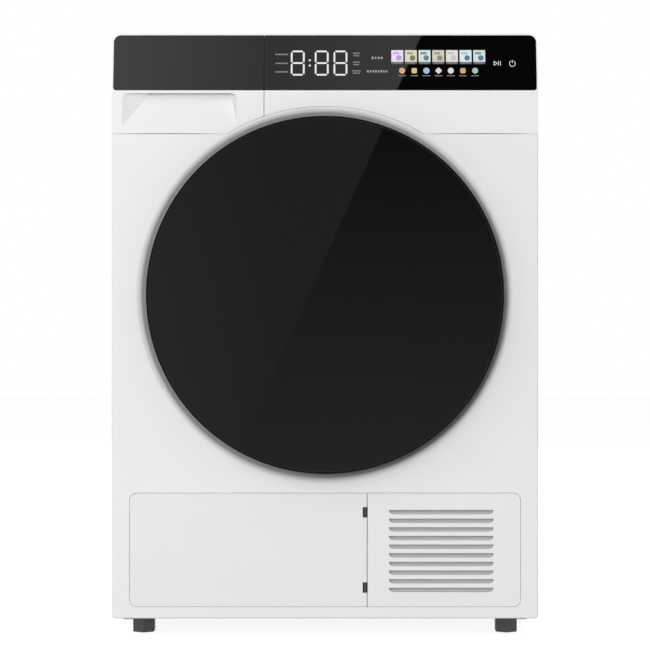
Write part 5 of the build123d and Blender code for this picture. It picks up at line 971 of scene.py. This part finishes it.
@dataclass
class Studio:
    """Floor, world, lamps, reflection cards and the camera at the photograph's view."""

    front_y: float = -0.2805
    reach: float = 2.7  # camera to the front sheet
    view_z: float = 0.4366
    view_width: float = 0.9066  # seen at the front sheet
    sensor: float = 36.0  # millimetres
    clip: float = 50.0
    ambient: float = 0.28
    floor_x: Pair = (-6.0, 6.0)
    floor_y: Pair = (-3.3, 9.0)
    floor_tone: float = 0.6  # where it lights
    floor_shown: float = 0.35  # where it is seen
    floor_lift: float = 0.88  # white added where it is seen
    aim_z: float = 0.45
    card_y: float = -3.6
    card_step: float = 0.02  # pale cards in front of the wall
    card_x: Pair = (-3.0, 3.0)
    wall_foot: float = -0.2
    wall_split: float = 1.0  # dim below, dark above
    pale_head: float = 1.9  # the door's glass shows what is below, the strip's what is above
    wall_head: float = 3.2
    edge_foot_x: float = -0.374  # slanting edge of the pale card
    edge_bend: Pair = (-0.0831, 0.4529)
    edge_head_x: float = 0.561
    fold_head_x: float = -0.4504  # fold between the fading and the even part
    top_fold_x: float = -0.187
    top_edge_x: Pair = (0.072, 0.612)

    def build(self) -> None:
        """Makes the whole studio."""
        self.build_camera()
        self.build_world()
        self.build_floor()
        for lamp in LAMPS:
            self.build_lamp(lamp)
        self.build_cards()

    def build_camera(self) -> None:
        """A level camera straight before the front: lens = sensor x reach / width seen."""
        data = bpy.data.cameras.new("camera")
        data.sensor_width = self.sensor
        data.lens = self.sensor * self.reach / self.view_width
        data.clip_end = self.clip
        camera = bpy.data.objects.new("camera", data)
        camera.location = (0.0, self.front_y - self.reach, self.view_z)
        camera.rotation_euler = (math.pi / 2, 0.0, 0.0)
        bpy.context.scene.collection.objects.link(camera)
        bpy.context.scene.camera = camera

    @staticmethod
    def seen(nodes: bpy.types.Nodes, links: bpy.types.NodeLinks) -> bpy.types.NodeSocket:
        """Adds the mask of rays that show the background: camera, glossy and transmission rays.

        Args:
            nodes: Nodes of the material or world.
            links: Its links.

        Returns:
            The mask socket.
        """
        path = nodes.new("ShaderNodeLightPath")
        first = nodes.new("ShaderNodeMath")
        first.operation = "MAXIMUM"
        links.new(path.outputs["Is Camera Ray"], first.inputs[0])
        links.new(path.outputs["Is Glossy Ray"], first.inputs[1])
        second = nodes.new("ShaderNodeMath")
        second.operation = "MAXIMUM"
        links.new(first.outputs["Value"], second.inputs[0])
        links.new(path.outputs["Is Transmission Ray"], second.inputs[1])
        return second.outputs["Value"]

    def build_world(self) -> None:
        """White where it is seen, a softer level where it lights."""
        world = bpy.data.worlds.new("studio")
        bpy.context.scene.world = world
        world.use_nodes = True
        nodes, links = world.node_tree.nodes, world.node_tree.links
        nodes.clear()
        light = nodes.new("ShaderNodeBackground")
        light.inputs["Color"].default_value = (1.0, 1.0, 1.0, 1.0)
        light.inputs["Strength"].default_value = self.ambient
        white = nodes.new("ShaderNodeBackground")
        white.inputs["Color"].default_value = (1.0, 1.0, 1.0, 1.0)
        white.inputs["Strength"].default_value = 1.0
        mix = nodes.new("ShaderNodeMixShader")
        links.new(self.seen(nodes, links), mix.inputs["Fac"])
        links.new(light.outputs["Background"], mix.inputs[1])
        links.new(white.outputs["Background"], mix.inputs[2])
        output = nodes.new("ShaderNodeOutputWorld")
        links.new(mix.outputs["Shader"], output.inputs["Surface"])

    @staticmethod
    def sheet(name: str, corners: list[Vector], material: bpy.types.Material) -> bpy.types.Object:
        """Makes a flat stage sheet of three or more corners.

        Args:
            name: Name of the sheet.
            corners: Its corners in order.
            material: Its material.

        Returns:
            The sheet.
        """
        mesh = bpy.data.meshes.new(name)
        mesh.from_pydata(corners, [], [list(range(len(corners)))])
        mesh.materials.append(material)
        made = bpy.data.objects.new(name, mesh)
        bpy.context.scene.collection.objects.link(made)
        return made

    def build_floor(self) -> None:
        """A pale floor that keeps the shadow and adds white where it is seen."""
        material = bpy.data.materials.new("studio_floor")
        material.use_nodes = True
        nodes, links = material.node_tree.nodes, material.node_tree.links
        nodes.clear()
        matt = nodes.new("ShaderNodeBsdfDiffuse")
        matt.inputs["Color"].default_value = (*[self.floor_tone] * 3, 1.0)
        shown = nodes.new("ShaderNodeBsdfDiffuse")
        shown.inputs["Color"].default_value = (*[self.floor_shown] * 3, 1.0)
        lift = nodes.new("ShaderNodeEmission")
        lift.inputs["Strength"].default_value = self.floor_lift
        add = nodes.new("ShaderNodeAddShader")
        links.new(shown.outputs["BSDF"], add.inputs[0])
        links.new(lift.outputs["Emission"], add.inputs[1])
        mix = nodes.new("ShaderNodeMixShader")
        links.new(self.seen(nodes, links), mix.inputs["Fac"])
        links.new(matt.outputs["BSDF"], mix.inputs[1])
        links.new(add.outputs["Shader"], mix.inputs[2])
        output = nodes.new("ShaderNodeOutputMaterial")
        links.new(mix.outputs["Shader"], output.inputs["Surface"])
        (left, right), (near, far) = self.floor_x, self.floor_y
        corners = [(left, near, 0.0), (right, near, 0.0), (right, far, 0.0), (left, far, 0.0)]
        self.sheet("studio_floor", corners, material)

    def build_lamp(self, lamp: Lamp) -> None:
        """Makes a lamp that is turned to the middle of the front.

        Args:
            lamp: The lamp to make.
        """
        data = bpy.data.lights.new(lamp.name, "AREA")
        data.energy = lamp.watts
        data.size = lamp.side
        made = bpy.data.objects.new(lamp.name, data)
        made.location = lamp.place
        aim = np.array([0.0, self.front_y, self.aim_z]) - np.array(lamp.place)
        flat = math.hypot(aim[0], aim[1])
        made.rotation_euler = (math.atan2(flat, -aim[2]), 0.0, math.atan2(-aim[0], aim[1]))
        made.visible_glossy = False
        bpy.context.scene.collection.objects.link(made)

    def card(self, name: str, corners: list[Vector], level: float,
             slope: Vector = (0.0, 0.0, 0.0)) -> None:
        """A card that only reflections see; its light is level + slope . p at each place p.

        Args:
            name: Name of the card.
            corners: Its corners in order, from the foot on the left.
            level: Light at the origin.
            slope: How the light changes along each axis, per metre.
        """
        material = bpy.data.materials.new(name)
        material.use_nodes = True
        nodes, links = material.node_tree.nodes, material.node_tree.links
        nodes.clear()
        place = nodes.new("ShaderNodeTexCoord")
        lean = nodes.new("ShaderNodeVectorMath")
        lean.operation = "DOT_PRODUCT"
        links.new(place.outputs["Object"], lean.inputs[0])
        lean.inputs[1].default_value = slope
        total = nodes.new("ShaderNodeMath")
        total.operation = "ADD"
        total.inputs[1].default_value = level
        links.new(lean.outputs["Value"], total.inputs[0])
        glow = nodes.new("ShaderNodeEmission")
        links.new(total.outputs["Value"], glow.inputs["Strength"])
        output = nodes.new("ShaderNodeOutputMaterial")
        links.new(glow.outputs["Emission"], output.inputs["Surface"])
        made = self.sheet(name, corners, material)
        made.visible_camera = False
        made.visible_diffuse = False
        made.visible_shadow = False
        made.visible_transmission = False
        made.visible_volume_scatter = False

    @staticmethod
    def upright(y: float, *corners: Pair) -> list[Vector]:
        """Gives the corners of an upright card.

        Args:
            y: Where the card stands.
            corners: Its corners (x, z) in order.

        Returns:
            The corners (x, y, z).
        """
        return [(x, y, z) for x, z in corners]

    def build_cards(self) -> None:
        """Cards behind the camera, for the black glass to show.

        A wall is dim below and dark above. In front of it stand paler cards whose slanting edges
        cross the glass: a fading and an even one for the door, two fading ones for the strip.
        """
        wall, near = self.card_y, self.card_y + self.card_step
        left, right = self.card_x
        foot, split, join, head = self.wall_foot, self.wall_split, self.pale_head, self.wall_head
        bend, fold_head = self.edge_bend, (self.fold_head_x, join)
        fold = self.top_fold_x
        self.card("dim_card", self.upright(
            wall, (left, foot), (right, foot), (right, split), (left, split)),
            level=0.323, slope=(0.0, 0.0, -0.287))
        self.card("pale_card", self.upright(
            near, (left, foot), (self.edge_foot_x, foot), bend, fold_head, (left, join)),
            level=0.2529, slope=(-0.327, 0.0, -0.083))
        self.card("even_card", self.upright(near, bend, (self.edge_head_x, join), fold_head),
                  level=0.2425)
        self.card("dark_top_card", self.upright(
            wall, (left, split), (right, split), (right, head), (left, head)), level=0.02)
        self.card("pale_top_card_left", self.upright(
            near, (left, join), (fold, join), (fold, head), (left, head)),
            level=0.6, slope=(-1.07, 0.0, 0.0))
        self.card("pale_top_card_right", self.upright(
            near, (fold, join), (self.top_edge_x[0], join), (self.top_edge_x[1], head),
            (fold, head)), level=0.844, slope=(0.45, 0.0, 0.0))


def main() -> None:
    """Builds the studio and every sub-assembly in order."""
    logging.basicConfig(level=logging.INFO, format="%(name)s: %(message)s")
    bpy.context.scene.view_settings.view_transform = "Standard"
    Studio().build()
    shop = FinishShop()
    for assembly in (CabinetShell, ControlBand, TankDrawer, LoadDoor, LowerFront, DrumDrive,
                     HeatPump):
        assembly(shop).build()
        LOG.info("%s done", assembly.__name__)


if __name__ == "__main__":
    main()
